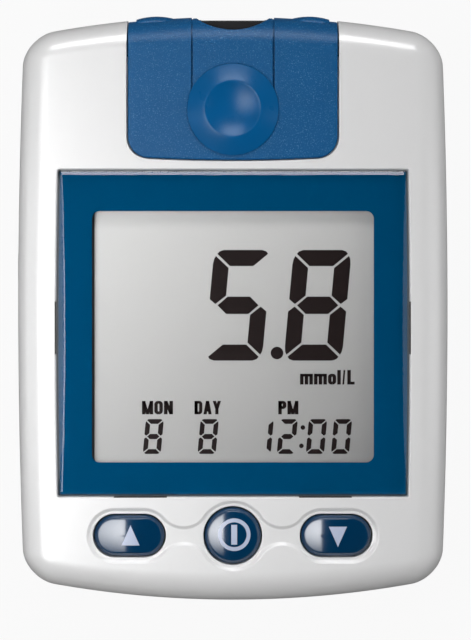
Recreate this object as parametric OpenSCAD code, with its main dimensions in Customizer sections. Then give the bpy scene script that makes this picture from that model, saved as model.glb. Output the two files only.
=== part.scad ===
// Blood glucose meter, lying on its back. X to the right, Y towards the test strip end, Z out of the face.
// The origin is the middle of the back face.

/* [Case] */
// Width of the case across its middle
body_w = 64; // [62:0.5:72]
// Length of the case from end to end
body_l = 87; // [86.5:0.5:96]
// Radius of the bow of each long side, seen from the front
side_arc_r = 1100; // [800:50:3000]
// Radius of the arch of each end, seen from the front
end_arc_r = 160; // [150:10:400]
// Radius of the four corners, seen from the front
corner_r = 4.8; // [4.4:0.1:5.4]
// Radius of the rounded edge round the face
face_edge_r = 4.6; // [3.5:0.1:4.8]
// Radius of the rounded edge round the back
back_edge_r = 3.4; // [2.4:0.1:3.8]
// Thickness of the case walls
wall = 1.9; // [1.6:0.1:2.1]
// Thickness of the case's back
floor_t = 1.8; // [1.6:0.1:2.2]
// Height of the seam between the case halves
seam_z = 9; // [7.5:0.25:9.5]
// Height of the lip that locates the case halves
lip_h = 1; // [0.6:0.1:1.1]
// Thickness of that lip
lip_t = 1; // [0.8:0.1:1.2]

/* [Display] */
// Distance from the case's side to the lens
lens_side_gap = 6.25; // [5.9:0.05:7]
// Distance from the cover's lower edge to the lens
lens_cover_gap = 1.43; // [1.2:0.01:2.4]
// Distance from the lens to the line of the keys
lens_key_gap = 6.14; // [6:0.02:7]
// Depth of the pocket that the lens sits in
pocket_depth = 1.6; // [1.2:0.1:2]
// How far the lens's edge stands above the face
lens_edge_rise = 0.1; // [0:0.05:0.3]
// Rise of the lens's arched top at its two ends, above its edge
lens_end_rise = 0.34; // [0.2:0.02:0.5]
// Rise of the lens's arched top at its middle, above its edge
lens_mid_rise = 0.89; // [0.6:0.05:1.1]
// Slope of the bevels along the lens's long sides
bevel_angle = 25; // [20:1:35]
// Bow of the lens's long sides
lens_bow = 0.25; // [0:0.05:0.3]
// Thickness of the printed border on the back of the lens
print_t = 0.1; // [0.05:0.05:0.2]
// Width of the printed border at each side of the window
border_side = 4.95; // [4.6:0.05:7]
// Width of the printed border above the window
border_top = 5.99; // [5:0.01:8]
// Width of the printed border below the window
border_bottom = 4.51; // [4.3:0.01:7]
// Corner radius of the clear window
window_r = 0.9; // [0.5:0.1:2]
// Thickness of the ledge under the lens
ledge_t = 1.2; // [1:0.1:1.5]
// Thickness of the gasket between the ledge and the glass
gasket_t = 0.4; // [0.3:0.05:0.6]
// Thickness of the liquid crystal glass
glass_t = 1.8; // [1.4:0.1:2.2]
// How far the glass runs past the window at each side
glass_side_lap = 2.2; // [1.8:0.05:2.4]
// How far the glass runs past the window at each end
glass_end_lap = 2.95; // [2.6:0.05:3.1]
// Thickness of the reflector under the glass
reflector_t = 0.2; // [0.1:0.05:0.3]
// Wall thickness of the frame that holds the glass
holder_wall = 1.2; // [1:0.1:1.5]
// Height of the contact strips under the glass
zebra_h = 1.2; // [1:0.1:1.6]
// Width of each contact strip
zebra_w = 2; // [1.5:0.1:2.2]
// Distance from each contact strip's end to the glass's side
zebra_end_gap = 3; // [1:0.5:8]

/* [Circuit board] */
// Thickness of the board
board_t = 1; // [0.8:0.1:1.6]
// Distance from the case's side to the board
board_side_gap = 3.6; // [3.5:0.1:4]
// Distance from the case's end line to the board
board_end_gap = 5.5; // [5:0.1:6]
// Height of each key switch
switch_h = 2; // [1.8:0.1:2.2]
// Width of each key switch
switch_w = 4.6; // [4:0.1:5]
// Radius of each switch plunger
plunger_r = 0.9; // [0.7:0.05:1.2]
// Width of the processor
processor_w = 10; // [7:0.5:12]
// Thickness of the processor
processor_h = 1.4; // [1:0.1:2]
// Width of the processor's leads
lead_w = 0.4; // [0.3:0.05:0.5]
// Spacing of the processor's leads
lead_pitch = 0.8; // [0.65:0.05:1.2]
// Reach of the leads out of each chip
lead_l = 0.8; // [0.5:0.1:1.2]
// Thickness of the leads
lead_t = 0.2; // [0.1:0.05:0.3]
// Width of the analogue chip
analog_w = 6; // [4:0.5:7]
// Length of the analogue chip
analog_l = 4; // [3:0.25:5]
// Thickness of the analogue chip
analog_h = 1.2; // [0.8:0.1:1.6]
// Width of the small parts on the board
passive_w = 1; // [0.6:0.1:1.2]
// Length of the small parts on the board
passive_l = 2; // [1.2:0.1:2.4]
// Height of the small parts on the board
passive_h = 0.6; // [0.3:0.1:0.8]
// Spacing of the small parts on the board
passive_pitch = 2.2; // [1.8:0.1:2.3]
// Radius of the buzzer
buzzer_r = 5.5; // [4.5:0.25:6.5]
// Height of the buzzer
buzzer_h = 3.2; // [2:0.1:4]
// Length of the crystal's can
crystal_l = 8; // [6:0.25:9]
// Radius of the crystal's can
crystal_r = 1.5; // [1:0.1:1.6]
// Width of the crystal's leads
crystal_lead = 0.3; // [0.2:0.05:0.4]
// Distance from the board's upper end to the middle of the processor
processor_end_gap = 16; // [15:0.5:17]
// Distance from the board's upper end to the middle of the analogue chip
analog_end_gap = 5; // [4:0.5:7]
// Distance of the analogue chip from the middle
analog_side = 9; // [8:0.5:12]
// Distance from the board's upper end to the crystal
crystal_end_gap = 18; // [16:0.5:19]
// Distance of the crystal from the middle
crystal_side = 13; // [12:0.5:15]
// Distance from the board's upper end to the middle of the buzzer
buzzer_end_gap = 13; // [12:0.5:14]
// Distance between the buzzer's middle and the post beside it, across the case
buzzer_post_gap = 7.7; // [7.5:0.1:9]
// Distance from the strip port to the first small part
passive_port_gap = 6.9; // [6.5:0.1:8]
// Distance from the board's upper end to the outer row of small parts
passive_end_gap = 6; // [5.5:0.5:7]
// Spacing of the two rows of small parts
passive_row_gap = 5; // [3:0.5:5]

/* [Strip end] */
// Width of the cover over the strip end
cover_w = 30.8; // [30:0.1:32]
// Length of the cover, from its lower edge to the case's end line
cover_l = 21.83; // [21.6:0.01:22.6]
// Radius of the bow of the cover's lower edge
cover_bow_r = 231; // [180:1:400]
// Radius of the cover's lower corners
cover_corner_r = 3.1; // [2:0.1:4]
// Thickness of the cover
cover_t = 1.5; // [1.3:0.1:1.6]
// Gap between the cover and the case
cover_gap = 0.2; // [0.15:0.05:0.3]
// How far the cover stands above the face
cover_rise = 0.15; // [0:0.05:0.3]
// How far the cover's end stands back from the case's end line
cover_inset = 0.2; // [0.1:0.05:0.3]
// Width of the ledge that the cover rests on
cover_ledge = 1.4; // [1:0.1:1.8]
// Distance from each end lobe to the cover's side
lobe_side_gap = 1.1; // [0.6:0.05:2]
// Width of each end lobe
lobe_w = 6; // [5:0.1:6.4]
// How far each end lobe stands out of the cover's end
lobe_rise = 0.45; // [0.3:0.05:0.6]
// Width of the sliding tongue
tongue_w = 11.75; // [11.5:0.05:12]
// Gap on each side of the tongue
seam_gap = 0.25; // [0.2:0.05:0.3]
// Radius of the scoop in the tongue's end
scoop_r = 10; // [9:0.25:12]
// Depth of the scoop, from the case's end line
scoop_depth = 2.7; // [2.3:0.1:3.3]
// Distance from the cover's lower edge to the middle of the thumb pad
pad_cover_gap = 7.38; // [7.2:0.02:7.6]
// Radius of the thumb pad
pad_r = 6.75; // [6.5:0.05:7]
// Radius of the crest round the pad's dish
pad_crest_r = 4.4; // [4.2:0.05:4.8]
// Radius of the pad's dish
dish_r = 4.03; // [3.7:0.05:4.1]
// Depth of the pad's dish
dish_depth = 0.95; // [0.6:0.05:1.1]
// Height of the pad above the cover
pad_h = 1.5; // [1.2:0.1:1.8]
// Travel of the ejector
eject_travel = 4.5; // [3:0.25:4.75]
// Gap between the strip port block and the sides of its opening
port_side_gap = 0.52; // [0.3:0.02:0.9]
// Height of the strip port block
port_h = 3.1; // [2.8:0.1:3.2]
// Distance from the cover's lower edge to the strip port block
port_cover_gap = 8.33; // [8.2:0.01:9]
// How far the port's mouth stands back from the case's end line
port_inset = 0.6; // [0.4:0.1:1.2]
// Width of the strip slot
slot_w = 7.2; // [6:0.1:8]
// Height of the strip slot
slot_h = 0.9; // [0.85:0.05:1.1]
// Radius of the wire of the ejector's return spring
spring_wire_r = 0.2; // [0.15:0.05:0.3]
// Radius of the return spring to the middle of its wire
spring_coil_r = 0.95; // [0.8:0.05:1.2]
// Length of the return spring as fitted
spring_l = 8.9; // [8.2:0.1:9.2]
// Turns of the return spring
spring_turns = 8; // [5:1:9]

/* [Keys] */
// Distance from the case's lower end line to the line of the keys
key_end_gap = 10; // [9.8:0.05:10.2]
// Distance from the case's side to the middle of each outer key
key_side_gap = 16.8; // [16.6:0.05:17.2]
// Width of the openings for the outer keys
key_w = 10.7; // [10:0.1:11]
// Length of the openings for the outer keys
key_l = 6.35; // [6:0.05:6.5]
// Diameter of the opening for the middle key
power_d = 8.6; // [8:0.1:8.8]
// Gap round each key
key_gap = 0.18; // [0.12:0.02:0.25]
// Travel of the keys
key_travel = 0.5; // [0.3:0.05:0.5]
// How far the keys stand above the face
key_rise = 0.35; // [0.1:0.05:0.6]
// Radius of the keys' domed tops
key_dome_r = 26; // [20:1:60]
// Width of the flange that keeps each key in
key_flange = 0.7; // [0.5:0.05:0.75]
// Thickness of that flange
key_flange_t = 0.8; // [0.6:0.1:1]
// Radius of the stem under each key
stem_r = 1.5; // [1.2:0.1:2]
// Depth of the shallow recess round the keys
recess_depth = 0.35; // [0.2:0.05:0.45]
// Width of the recess round each key
recess_margin = 0.66; // [0.5:0.02:0.8]
// Width of the channel that joins the recesses
waist_w = 1.96; // [1.5:0.1:3]
// Radius of the recess's inner corners
recess_fillet = 3.8; // [1.5:0.1:4]
// Middle of the side button along the case
set_y = 6.08; // [5:0.1:8]
// Length of the side button
set_l = 6; // [5:0.1:7]
// Height of the side button
set_h = 3; // [2.6:0.1:3.2]
// How far the side button stands out of the case
set_rise = 0.4; // [0.35:0.05:0.6]
// Travel of the side button
set_travel = 0.35; // [0.2:0.05:0.35]
// Radius of the side button's domed end
set_dome_r = 12; // [8:0.5:20]
// Gap round the side button
set_gap = 0.12; // [0.1:0.02:0.2]

/* [Batteries] */
// Diameter of each cell
battery_d = 10.5; // [9.8:0.1:10.6]
// Length of each cell with its nub
battery_l = 44.5; // [43.5:0.1:44.6]
// Radius of the cell's nub
nub_r = 1.9; // [1.5:0.1:2.5]
// Height of the cell's nub
nub_h = 0.8; // [0.6:0.1:1.2]
// Room round the cells
battery_gap = 0.2; // [0.15:0.05:0.3]
// Distance from the case's lower end line to the middle of the battery bay
bay_end_gap = 24.1; // [23.9:0.1:25.5]
// Thickness of the bay's walls
bay_wall = 1.2; // [1:0.1:1.3]
// Thickness of the bay's ceiling
bay_ceiling = 1; // [0.8:0.1:1.4]
// Length of each contact spring as fitted
contact_l = 3.4; // [3:0.1:3.6]
// Radius of the wire of the contact springs
contact_wire_r = 0.3; // [0.2:0.05:0.35]
// Radius of the contact springs at the plate, to the middle of the wire
contact_big_r = 3.6; // [2.8:0.1:3.8]
// Radius of the contact springs at the cell, to the middle of the wire
contact_small_r = 2; // [1.5:0.1:2.6]
// Turns of each contact spring
contact_turns = 4; // [2:1:5]
// Thickness of the contact plates
plate_t = 0.4; // [0.3:0.05:0.5]
// Width of the contact plates
plate_w = 8; // [7.4:0.1:9]
// Width of the tails of the contact plates
tail_w = 2; // [1.5:0.1:3]
// Thickness of the battery door
door_t = 1.5; // [1.3:0.1:1.6]
// How far the door lies back from the surface that the case rests on
door_rise = 0.12; // [0.05:0.01:0.2]
// Gap round the door
door_gap = 0.15; // [0.1:0.05:0.2]
// How far the door runs past the bay's walls at each side
door_lap = 0.25; // [0.1:0.05:0.4]
// Width of each rail of the door
rail_w = 0.8; // [0.6:0.1:1]
// Thickness of each rail of the door
rail_t = 0.6; // [0.5:0.05:0.7]
// Number of grip ribs on the door
grip_ribs = 5; // [3:1:7]
// Spacing of the grip ribs
grip_pitch = 1.6; // [1.4:0.1:2]

/* [Fasteners] */
// Distance from the case's side to each upper case screw
upper_boss_side = 6; // [5.8:0.05:6.4]
// Distance from the case's upper end line to the upper case screws
upper_boss_end = 7.3; // [7.1:0.05:7.8]
// Distance from the case's side to each lower case screw
lower_boss_side = 9.5; // [9.2:0.05:9.6]
// Distance from the case's lower end line to the lower case screws
lower_boss_end = 5.9; // [5.8:0.05:6]
// Radius of the screw bosses
boss_r = 2.3; // [2.2:0.05:2.4]
// Height of the joint between the front and back bosses
boss_seam_z = 10.6; // [10.2:0.1:11.5]
// Radius of the case screws' heads
head_r = 1.7; // [1.5:0.05:1.8]
// Height of the case screws' heads
head_h = 1.2; // [1:0.1:1.3]
// Radius of the case screws' shanks
shank_r = 0.8; // [0.7:0.05:0.9]
// Length of the case screws' shanks
shank_l = 11.5; // [10:0.5:12.5]
// Radial clearance round a shank in its pilot bore
pilot_gap = 0.05; // [0.02:0.01:0.08]
// Distance from the case's side to the board's posts
post_side = 5.3; // [5.2:0.05:5.4]
// Distance from the battery bay's wall to the lower posts
post_bay_gap = 2.6; // [2.2:0.1:3]
// Radius of the board's posts
post_r = 1.6; // [1.5:0.05:1.7]
// Radius of the board screws' heads
small_head_r = 1.4; // [1.2:0.05:1.6]
// Height of the board screws' heads
small_head_h = 0.9; // [0.7:0.1:1.2]
// Radius of the board screws' shanks
small_shank_r = 0.6; // [0.5:0.05:0.7]
// Length of the board screws' shanks
small_shank_l = 4.4; // [3.5:0.1:4.8]

/* [Hidden] */
$fn = 64;

PEARL_WHITE = [0.93, 0.93, 0.93];
MATTE_BLUE = [0.10, 0.35, 0.57];
KEY_NAVY = [0.0, 0.22, 0.38];
LENS_BLUE = [0.0, 0.29, 0.45];
LCD_GREY = [0.78, 0.79, 0.77];
BLACK_PLASTIC = [0.08, 0.08, 0.09];
BOARD_GREEN = [0.05, 0.35, 0.20];
BRASS = [0.80, 0.68, 0.38];
STEEL = [0.72, 0.73, 0.75];

corner_steps = 8;
end_steps = 10;
side_steps = 6;
edge_steps = 7;
lens_steps = 12;
end_bevel = 0.5;
slice_t = 0.01;
smallest_corner = 0.8;
overlap = 0.5;
tall = 60;

// Levels, from the surface that the case rests on up to the face
door_top = door_rise + door_t;
recess_top = door_top + door_gap;
battery_z = door_top + battery_gap + battery_d / 2;
bay_top = battery_z + battery_d / 2 + battery_gap;
board_z = bay_top + bay_ceiling;
board_top = board_z + board_t;
glass_z = board_top + zebra_h;
ledge_z = glass_z + glass_t + gasket_t;
pocket_z = ledge_z + ledge_t;
lens_z = pocket_z + print_t;
face_z = pocket_z + pocket_depth;
cover_top = face_z + cover_rise;
cover_under = cover_top - cover_t;
inner_face_z = face_z - wall;

// Places that follow the case's ends and sides
key_y = key_end_gap - body_l / 2;
key_x = body_w / 2 - key_side_gap;
cover_y = body_l / 2 - cover_l;
pad_y = cover_y + pad_cover_gap;
scoop_y = body_l / 2 - scoop_depth;
lobe_x = cover_w / 2 - lobe_side_gap - lobe_w / 2;
lens_top = cover_y - lens_cover_gap;
lens_bottom = key_y + lens_key_gap;
lens_w = body_w - 2 * lens_side_gap;
lens_l = lens_top - lens_bottom;
lens_y = (lens_top + lens_bottom) / 2;
window_w = lens_w - 2 * border_side;
window_l = lens_l - border_top - border_bottom;
window_y = lens_y + (border_bottom - border_top) / 2;
glass_w = window_w + 2 * glass_side_lap;
glass_l = window_l + 2 * glass_end_lap;
zebra_l = glass_w - 2 * zebra_end_gap;
board_w = body_w - 2 * board_side_gap;
board_l = body_l - 2 * board_end_gap;

// Battery bay
bay_y = bay_end_gap - body_l / 2;
bay_l = battery_l + contact_l + 2 * plate_t;
bay_w = 2 * battery_d + 3 * battery_gap;
cell_y = (battery_d + battery_gap) / 2;
plate_h = battery_d;
tail_slot_gap = 0.3;
door_w = bay_l + 2 * (bay_wall + door_lap);
door_y = bay_y + bay_w / 2 + bay_wall + 0.8;
groove_gap = 0.12;
rail_z = (door_rise + door_top) / 2;
inner_floor_t = 3.3;
counterbore_z = inner_floor_t + 0.1;
head_gap = 0.2;

// Strip end
tongue_y = pad_y - 2.4;
slider_y = pad_y - pad_r + 1.3;
tongue_under = board_top + port_h + 0.35;
slider_gap = 0.1;
slider_flange_w = 1.3;
slider_flange_t = 0.8;
flange_top = cover_under - slider_gap;
flange_bottom = flange_top - slider_flange_t;
flange_end = body_l / 2 - cover_inset - face_edge_r - eject_travel - 0.2;
port_w = tongue_w + 2 * seam_gap - 2 * port_side_gap;
port_front = body_l / 2 - port_inset;
port_back = cover_y + port_cover_gap;
port_l = port_front - port_back;
slot_z = board_top + (port_h - slot_h) / 2 - 0.2;
blade_w = 5.2;
blade_gap = 0.12;
post_gap = 0.3;
post_l = 1.5;
blade_tip = port_back + 0.5;
post_front = port_back - eject_travel - post_gap;
contact_count = 4;
lug_gap = 0.43;
spring_z = ledge_z - 0.9;
lug_w = 2 * (spring_coil_r + spring_wire_r) + 0.5;
spring_x = tongue_w / 2 + slider_flange_w + lug_gap + lug_w / 2;
lug_t = 1.2;
lug_low = spring_z - 1.3;
slider_lug_y = post_front - 0.3;
fixed_lug_y = slider_lug_y + spring_l;
spring_play = 0.05;

// Keys
key_inner = inner_face_z;
flange_gap = 0.1;
key_flange_top = key_inner - flange_gap;
key_flange_low = key_flange_top - key_flange_t;
switch_top = board_top + switch_h;
switch_bore_depth = 1.4;
plunger_low = switch_top - switch_bore_depth + key_travel + 0.1;
plunger_top = switch_top + key_travel + 0.2;
bore_gap = 0.06;
set_z = board_z - 1.3;
set_flange = 0.4;
set_switch_h = 2.6;
set_switch_l = 3.6;
set_wall_x = body_w / 2 - bow(set_y, side_arc_r);
set_inner_x = set_wall_x - wall;
set_flange_x = set_inner_x - flange_gap;
set_flange_t = 0.7;
set_stem_r = 1.1;
set_switch_x = set_flange_x - set_flange_t - set_travel - 1.3;
set_plunger_out = set_switch_x + set_travel + 0.2;
set_plunger_in = set_switch_x - 0.7;

// Screws
upper_boss_x = body_w / 2 - upper_boss_side;
upper_boss_y = body_l / 2 - upper_boss_end;
lower_boss_x = body_w / 2 - lower_boss_side;
lower_boss_y = lower_boss_end - body_l / 2;
boss_places = [[upper_boss_x, upper_boss_y], [-upper_boss_x, upper_boss_y],
    [lower_boss_x, lower_boss_y], [-lower_boss_x, lower_boss_y]];
post_x = body_w / 2 - post_side;
post_upper_y = lens_top - 0.2;
post_lower_y = bay_y + bay_w / 2 + bay_wall + post_bay_gap;
post_places = [for (side = [-1, 1]) for (y = [post_upper_y, post_lower_y]) [side * post_x, y]];
head_z = counterbore_z - head_h;
pilot_end = counterbore_z + shank_l + 0.4;

// Chips and small parts, set out from the board's upper end
processor_y = board_l / 2 - processor_end_gap;
analog_y = board_l / 2 - analog_end_gap;
crystal_y = board_l / 2 - crystal_end_gap;
buzzer_x = buzzer_post_gap - post_x;
buzzer_y = board_l / 2 - buzzer_end_gap;
passive_x = port_w / 2 + passive_port_gap + passive_w / 2;
passive_y = board_l / 2 - passive_end_gap;
passive_count = 5;

// How far an arch has dropped, at a distance from its middle
function bow(distance, radius) = radius - sqrt(radius * radius - distance * distance);

// A point of a plain rectangle, moved onto the bowed sides and arched ends
function bowed(p) = [
    p[0] * (1 - 2 * bow(p[1], side_arc_r) / body_w),
    p[1] * (1 - 2 * bow(p[0], end_arc_r) / body_l)];

function arc(x, y, radius, from, to, steps) = [for (k = [0:steps])
    let (a = from + (to - from) * k / steps) [x + radius * cos(a), y + radius * sin(a)]];

function between(from, to, steps) = [for (k = [1:steps - 1]) from + (to - from) * k / steps];

// The case's outline, drawn in by an inset
function outline(inset) =
    let (w = body_w / 2 - inset, l = body_l / 2 - inset)
    let (r = max(corner_r - inset, smallest_corner), cx = w - r, cy = l - r)
    [for (p = concat(
        arc(cx, cy, r, 0, 90, corner_steps),
        between([cx, l], [-cx, l], end_steps),
        arc(-cx, cy, r, 90, 180, corner_steps),
        between([-w, cy], [-w, -cy], side_steps),
        arc(-cx, -cy, r, 180, 270, corner_steps),
        between([-cx, -l], [cx, -l], end_steps),
        arc(cx, -cy, r, 270, 360, corner_steps),
        between([w, -cy], [w, cy], side_steps))) bowed(p)];

// The case's form between two heights, with its lower and upper edges rounded
module block(inset, low, high, low_r, high_r) {
    quarter = [for (k = [0:edge_steps]) 90 * k / edge_steps];
    low_rings = [for (a = quarter) [inset + low_r * (1 - sin(a)), low + low_r * (1 - cos(a))]];
    high_rings = [for (a = quarter) [inset + high_r * (1 - cos(a)), high - high_r * (1 - sin(a))]];
    rings = concat(low_r > 0 ? low_rings : [[inset, low]], high_r > 0 ? high_rings : [[inset, high]]);
    n = len(outline(0));
    last = len(rings) - 1;
    skin = [for (k = [0:last - 1]) for (j = [0:n - 1]) for (half = [0, 1])
        let (a = k * n + j, b = k * n + (j + 1) % n)
        half == 0 ? [a, a + n, b + n] : [a, b + n, b]];
    polyhedron(
        points = [for (ring = rings) for (p = outline(ring[0])) [p[0], p[1], ring[1]]],
        faces = concat(skin, [[for (j = [0:n - 1]) j]], [[for (j = [1:n]) last * n + n - j]]));
}

module box(x, y, low, w, l, h) {
    translate([x - w / 2, y - l / 2, low]) cube([w, l, h]);
}

module rounded_box(x, y, low, w, l, h, r) {
    translate([0, 0, low]) linear_extrude(height = h) difference() {
        translate([x - w / 2, y - l / 2]) square([w, l]);
        for (sx = [-1, 1]) {
            for (sy = [-1, 1]) {
                translate([x + sx * w / 2, y + sy * l / 2]) difference() {
                    square(2 * r, center = true);
                    translate([-sx * r, -sy * r]) circle(r);
                }
            }
        }
    }
}

// An oval with round ends, standing on the given height
module oval(x, y, low, w, l, h) {
    for (side = [-1, 1]) {
        translate([x + side * (w - l) / 2, y, low]) cylinder(d = l, h = h);
    }
    if (w > l) {
        box(x, y, low, w - l, l, h);
    }
}

// A wire wound round the X axis, from one end to the other, as one tube
module helix(from_x, to_x, from_r, to_r, turns, wire_r, rings_per_turn) {
    sides = 6;
    rings = turns * rings_per_turn;
    function middle(k) = let (s = k / rings, a = 360 * turns * s, r = from_r + (to_r - from_r) * s)
        [from_x + (to_x - from_x) * s, r * cos(a), r * sin(a)];
    function ring_point(k, j) = let (a = 360 * turns * k / rings, b = 360 * j / sides)
        middle(k) + wire_r * [cos(b), sin(b) * cos(a), sin(b) * sin(a)];
    points = [for (k = [0:rings]) for (j = [0:sides - 1]) ring_point(k, j)];
    skin = [for (k = [0:rings - 1]) for (j = [0:sides - 1]) for (half = [0, 1])
        let (a = k * sides + j, b = k * sides + (j + 1) % sides)
        half == 0 ? [a, b, b + sides] : [a, b + sides, a + sides]];
    caps = [[for (j = [1:sides]) sides - j], [for (j = [0:sides - 1]) rings * sides + j]];
    polyhedron(points = points, faces = concat(skin, caps), convexity = turns * 2);
}

// Plan of the cover over the strip end; a positive margin grows it
module cover_plan(margin) {
    w = cover_w / 2 + margin;
    r = max(cover_corner_r + margin, 0.5);
    side_y = cover_y + bow(cover_w / 2 - cover_corner_r, cover_bow_r) - margin;
    tilt = asin((w - r) / cover_bow_r);
    far = body_l;
    polygon(concat(
        [[-w, far]],
        arc(r - w, side_y + r, r, 180, 270 - tilt, corner_steps),
        [for (p = between([r - w, 0], [w - r, 0], end_steps))
            [p[0], cover_y - margin + bow(p[0], cover_bow_r)]],
        arc(w - r, side_y + r, r, 270 + tilt, 360, corner_steps),
        [[w, far]]));
}

module screw(head_low, head_radius, head_height, shank_radius, length) {
    cross_l = 1.4 * head_radius;
    cross_w = 0.3 * head_radius;
    cross_depth = 0.35 * head_height;
    difference() {
        union() {
            translate([0, 0, head_low]) cylinder(r = head_radius, h = head_height);
            translate([0, 0, head_low + head_height - slice_t]) cylinder(r = shank_radius, h = length);
        }
        for (turn = [0, 90]) {
            rotate([0, 0, turn]) box(0, 0, head_low - 1, cross_l, cross_w, cross_depth + 1);
        }
    }
}

module front_case() {
    color(PEARL_WHITE) difference() {
        intersection() {
            block(0, seam_z, face_z, 0, face_edge_r);
            union() {
                difference() {
                    box(0, 0, seam_z, 2 * body_w, 2 * body_l, tall);
                    block(wall, seam_z - 1, inner_face_z, 0, face_edge_r - wall);
                }
                box(0, lens_y, ledge_z, lens_w + 2, lens_l + 2, inner_face_z - ledge_z + overlap);
                for (place = boss_places) {
                    translate([place[0], place[1], boss_seam_z])
                        cylinder(r = boss_r, h = inner_face_z - boss_seam_z + overlap);
                }
                for (place = post_places) {
                    translate([place[0], place[1], board_top])
                        cylinder(r = post_r, h = inner_face_z - board_top + overlap);
                }
            }
        }
        lens_pocket();
        rounded_box(0, window_y, ledge_z - 1, window_w + 0.8, window_l + 0.8, 4, window_r);
        translate([0, 0, face_z - recess_depth]) linear_extrude(height = 2) recess_plan();
        oval(-key_x, key_y, key_inner - 1, key_w, key_l, 4);
        oval(key_x, key_y, key_inner - 1, key_w, key_l, 4);
        oval(0, key_y, key_inner - 1, power_d, power_d, 4);
        translate([0, 0, cover_under]) linear_extrude(height = tall) cover_plan(cover_gap);
        translate([0, 0, seam_z - 1]) linear_extrude(height = tall) cover_plan(-cover_ledge);
        box(0, body_l / 2, seam_z - 1, cover_w + 2 * cover_gap, 2 * (face_edge_r + cover_t + 0.4), tall);
        set_button_hole();
        for (place = boss_places) {
            translate([place[0], place[1], boss_seam_z - 1])
                cylinder(r = shank_r + pilot_gap, h = pilot_end - boss_seam_z + 1);
        }
        for (place = post_places) {
            translate([place[0], place[1], board_top - 1])
                cylinder(r = small_shank_r + pilot_gap, h = small_shank_l - board_t + 1.4);
        }
    }
}

// Pocket for the lens, with small relief slots along its edge
module lens_pocket() {
    pocket_gap = 0.12;
    slot_l = 7.5;
    slot_w_side = 1;
    slot_w_end = 0.8;
    slot_h_all = pocket_depth + 1;
    translate([0, 0, pocket_z]) linear_extrude(height = slot_h_all) polygon(lens_outline(pocket_gap));
    for (side = [-1, 1]) {
        box(side * lens_w / 2, lens_y, pocket_z, slot_w_side, slot_l, slot_h_all);
        box(side * slot_l * 2, lens_bottom, pocket_z, slot_l, slot_w_end, slot_h_all);
    }
}

// Plan of the recess that runs round the three keys
module recess_plan() {
    offset(r = -recess_fillet) offset(delta = recess_fillet) {
        for (side = [-1, 1]) {
            for (end = [-1, 1]) {
                translate([side * key_x + end * (key_w - key_l) / 2, key_y])
                    circle(d = key_l + 2 * recess_margin);
            }
            translate([side * key_x, key_y])
                square([key_w - key_l, key_l + 2 * recess_margin], center = true);
        }
        translate([0, key_y]) circle(d = power_d + 2 * recess_margin);
        translate([0, key_y]) square([2 * key_x, waist_w], center = true);
    }
}

module set_button_hole() {
    for (end = [-1, 1]) {
        translate([-body_w, set_y + end * (set_l - set_h) / 2, set_z])
            rotate([0, 90, 0]) cylinder(d = set_h + 2 * set_gap, h = body_w - set_inner_x + 2);
    }
    translate([-body_w, set_y - (set_l - set_h) / 2, set_z - set_h / 2 - set_gap])
        cube([body_w - set_inner_x + 2, set_l - set_h, set_h + 2 * set_gap]);
}

module back_case() {
    bay_end = bay_y - bay_w / 2 - bay_wall;
    end_floor_lap = 4.5;
    rail_floor_w = 5.5;
    rail_floor_rise = 0.8;
    color(PEARL_WHITE) difference() {
        intersection() {
            block(0, 0, board_z, back_edge_r, 0);
            union() {
                difference() {
                    box(0, 0, 0, 2 * body_w, 2 * body_l, seam_z);
                    block(wall, floor_t, seam_z + 1, back_edge_r - wall, 0);
                }
                lip();
                box(0, bay_y, 0, bay_l + 2 * bay_wall, bay_w + 2 * bay_wall, board_z);
                box(0, (bay_end - body_l / 2 + wall) / 2, 0, door_w + end_floor_lap,
                    bay_end + body_l / 2 - wall + 1, inner_floor_t);
                for (side = [-1, 1]) {
                    box(side * door_w / 2, (door_y - body_l / 2) / 2, 0, rail_floor_w, door_y + body_l / 2,
                        floor_t + rail_floor_rise);
                }
                for (place = boss_places) {
                    translate([place[0], place[1], 0]) cylinder(r = boss_r, h = boss_seam_z);
                }
            }
        }
        box(0, bay_y, -1, bay_l, bay_w, bay_top + 1);
        door_recess();
        plate_slots(bay_top - 1, board_z + 1);
        for (place = boss_places) {
            translate([place[0], place[1], -1]) cylinder(r = shank_r + 0.3, h = boss_seam_z + 2);
            translate([place[0], place[1], -1]) cylinder(r = head_r + head_gap, h = counterbore_z + 1);
        }
    }
}

// Lip inside the seam; it stands on the back case's wall
module lip() {
    lip_gap = 0.1;
    base_h = 2.5;
    difference() {
        translate([0, 0, seam_z - base_h]) linear_extrude(height = base_h) polygon(outline(wall - overlap));
        translate([0, 0, seam_z - base_h - 1])
            linear_extrude(height = base_h + 2) polygon(outline(wall + lip_gap + lip_t));
    }
    difference() {
        translate([0, 0, seam_z - 1]) linear_extrude(height = lip_h + 1) polygon(outline(wall + lip_gap));
        translate([0, 0, seam_z - 2])
            linear_extrude(height = lip_h + 3) polygon(outline(wall + lip_gap + lip_t));
    }
}

// Room for the battery door and its rails, open towards the lower end
module door_recess() {
    far = body_l;
    end_y = door_y + door_gap;
    box(0, end_y - far / 2, -1, door_w + 2 * door_gap, far, recess_top + 1);
    box(0, end_y - far / 2, rail_z - rail_t / 2 - groove_gap, door_w + 2 * (rail_w + groove_gap), far,
        rail_t + 2 * groove_gap);
}

module plate_slots(low, high) {
    for (side = [-1, 1]) {
        for (row = [-1, 1]) {
            box(side * (bay_l - plate_t) / 2, bay_y + row * cell_y, low, plate_t + tail_slot_gap,
                tail_w + tail_slot_gap, high - low);
        }
    }
}

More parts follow.
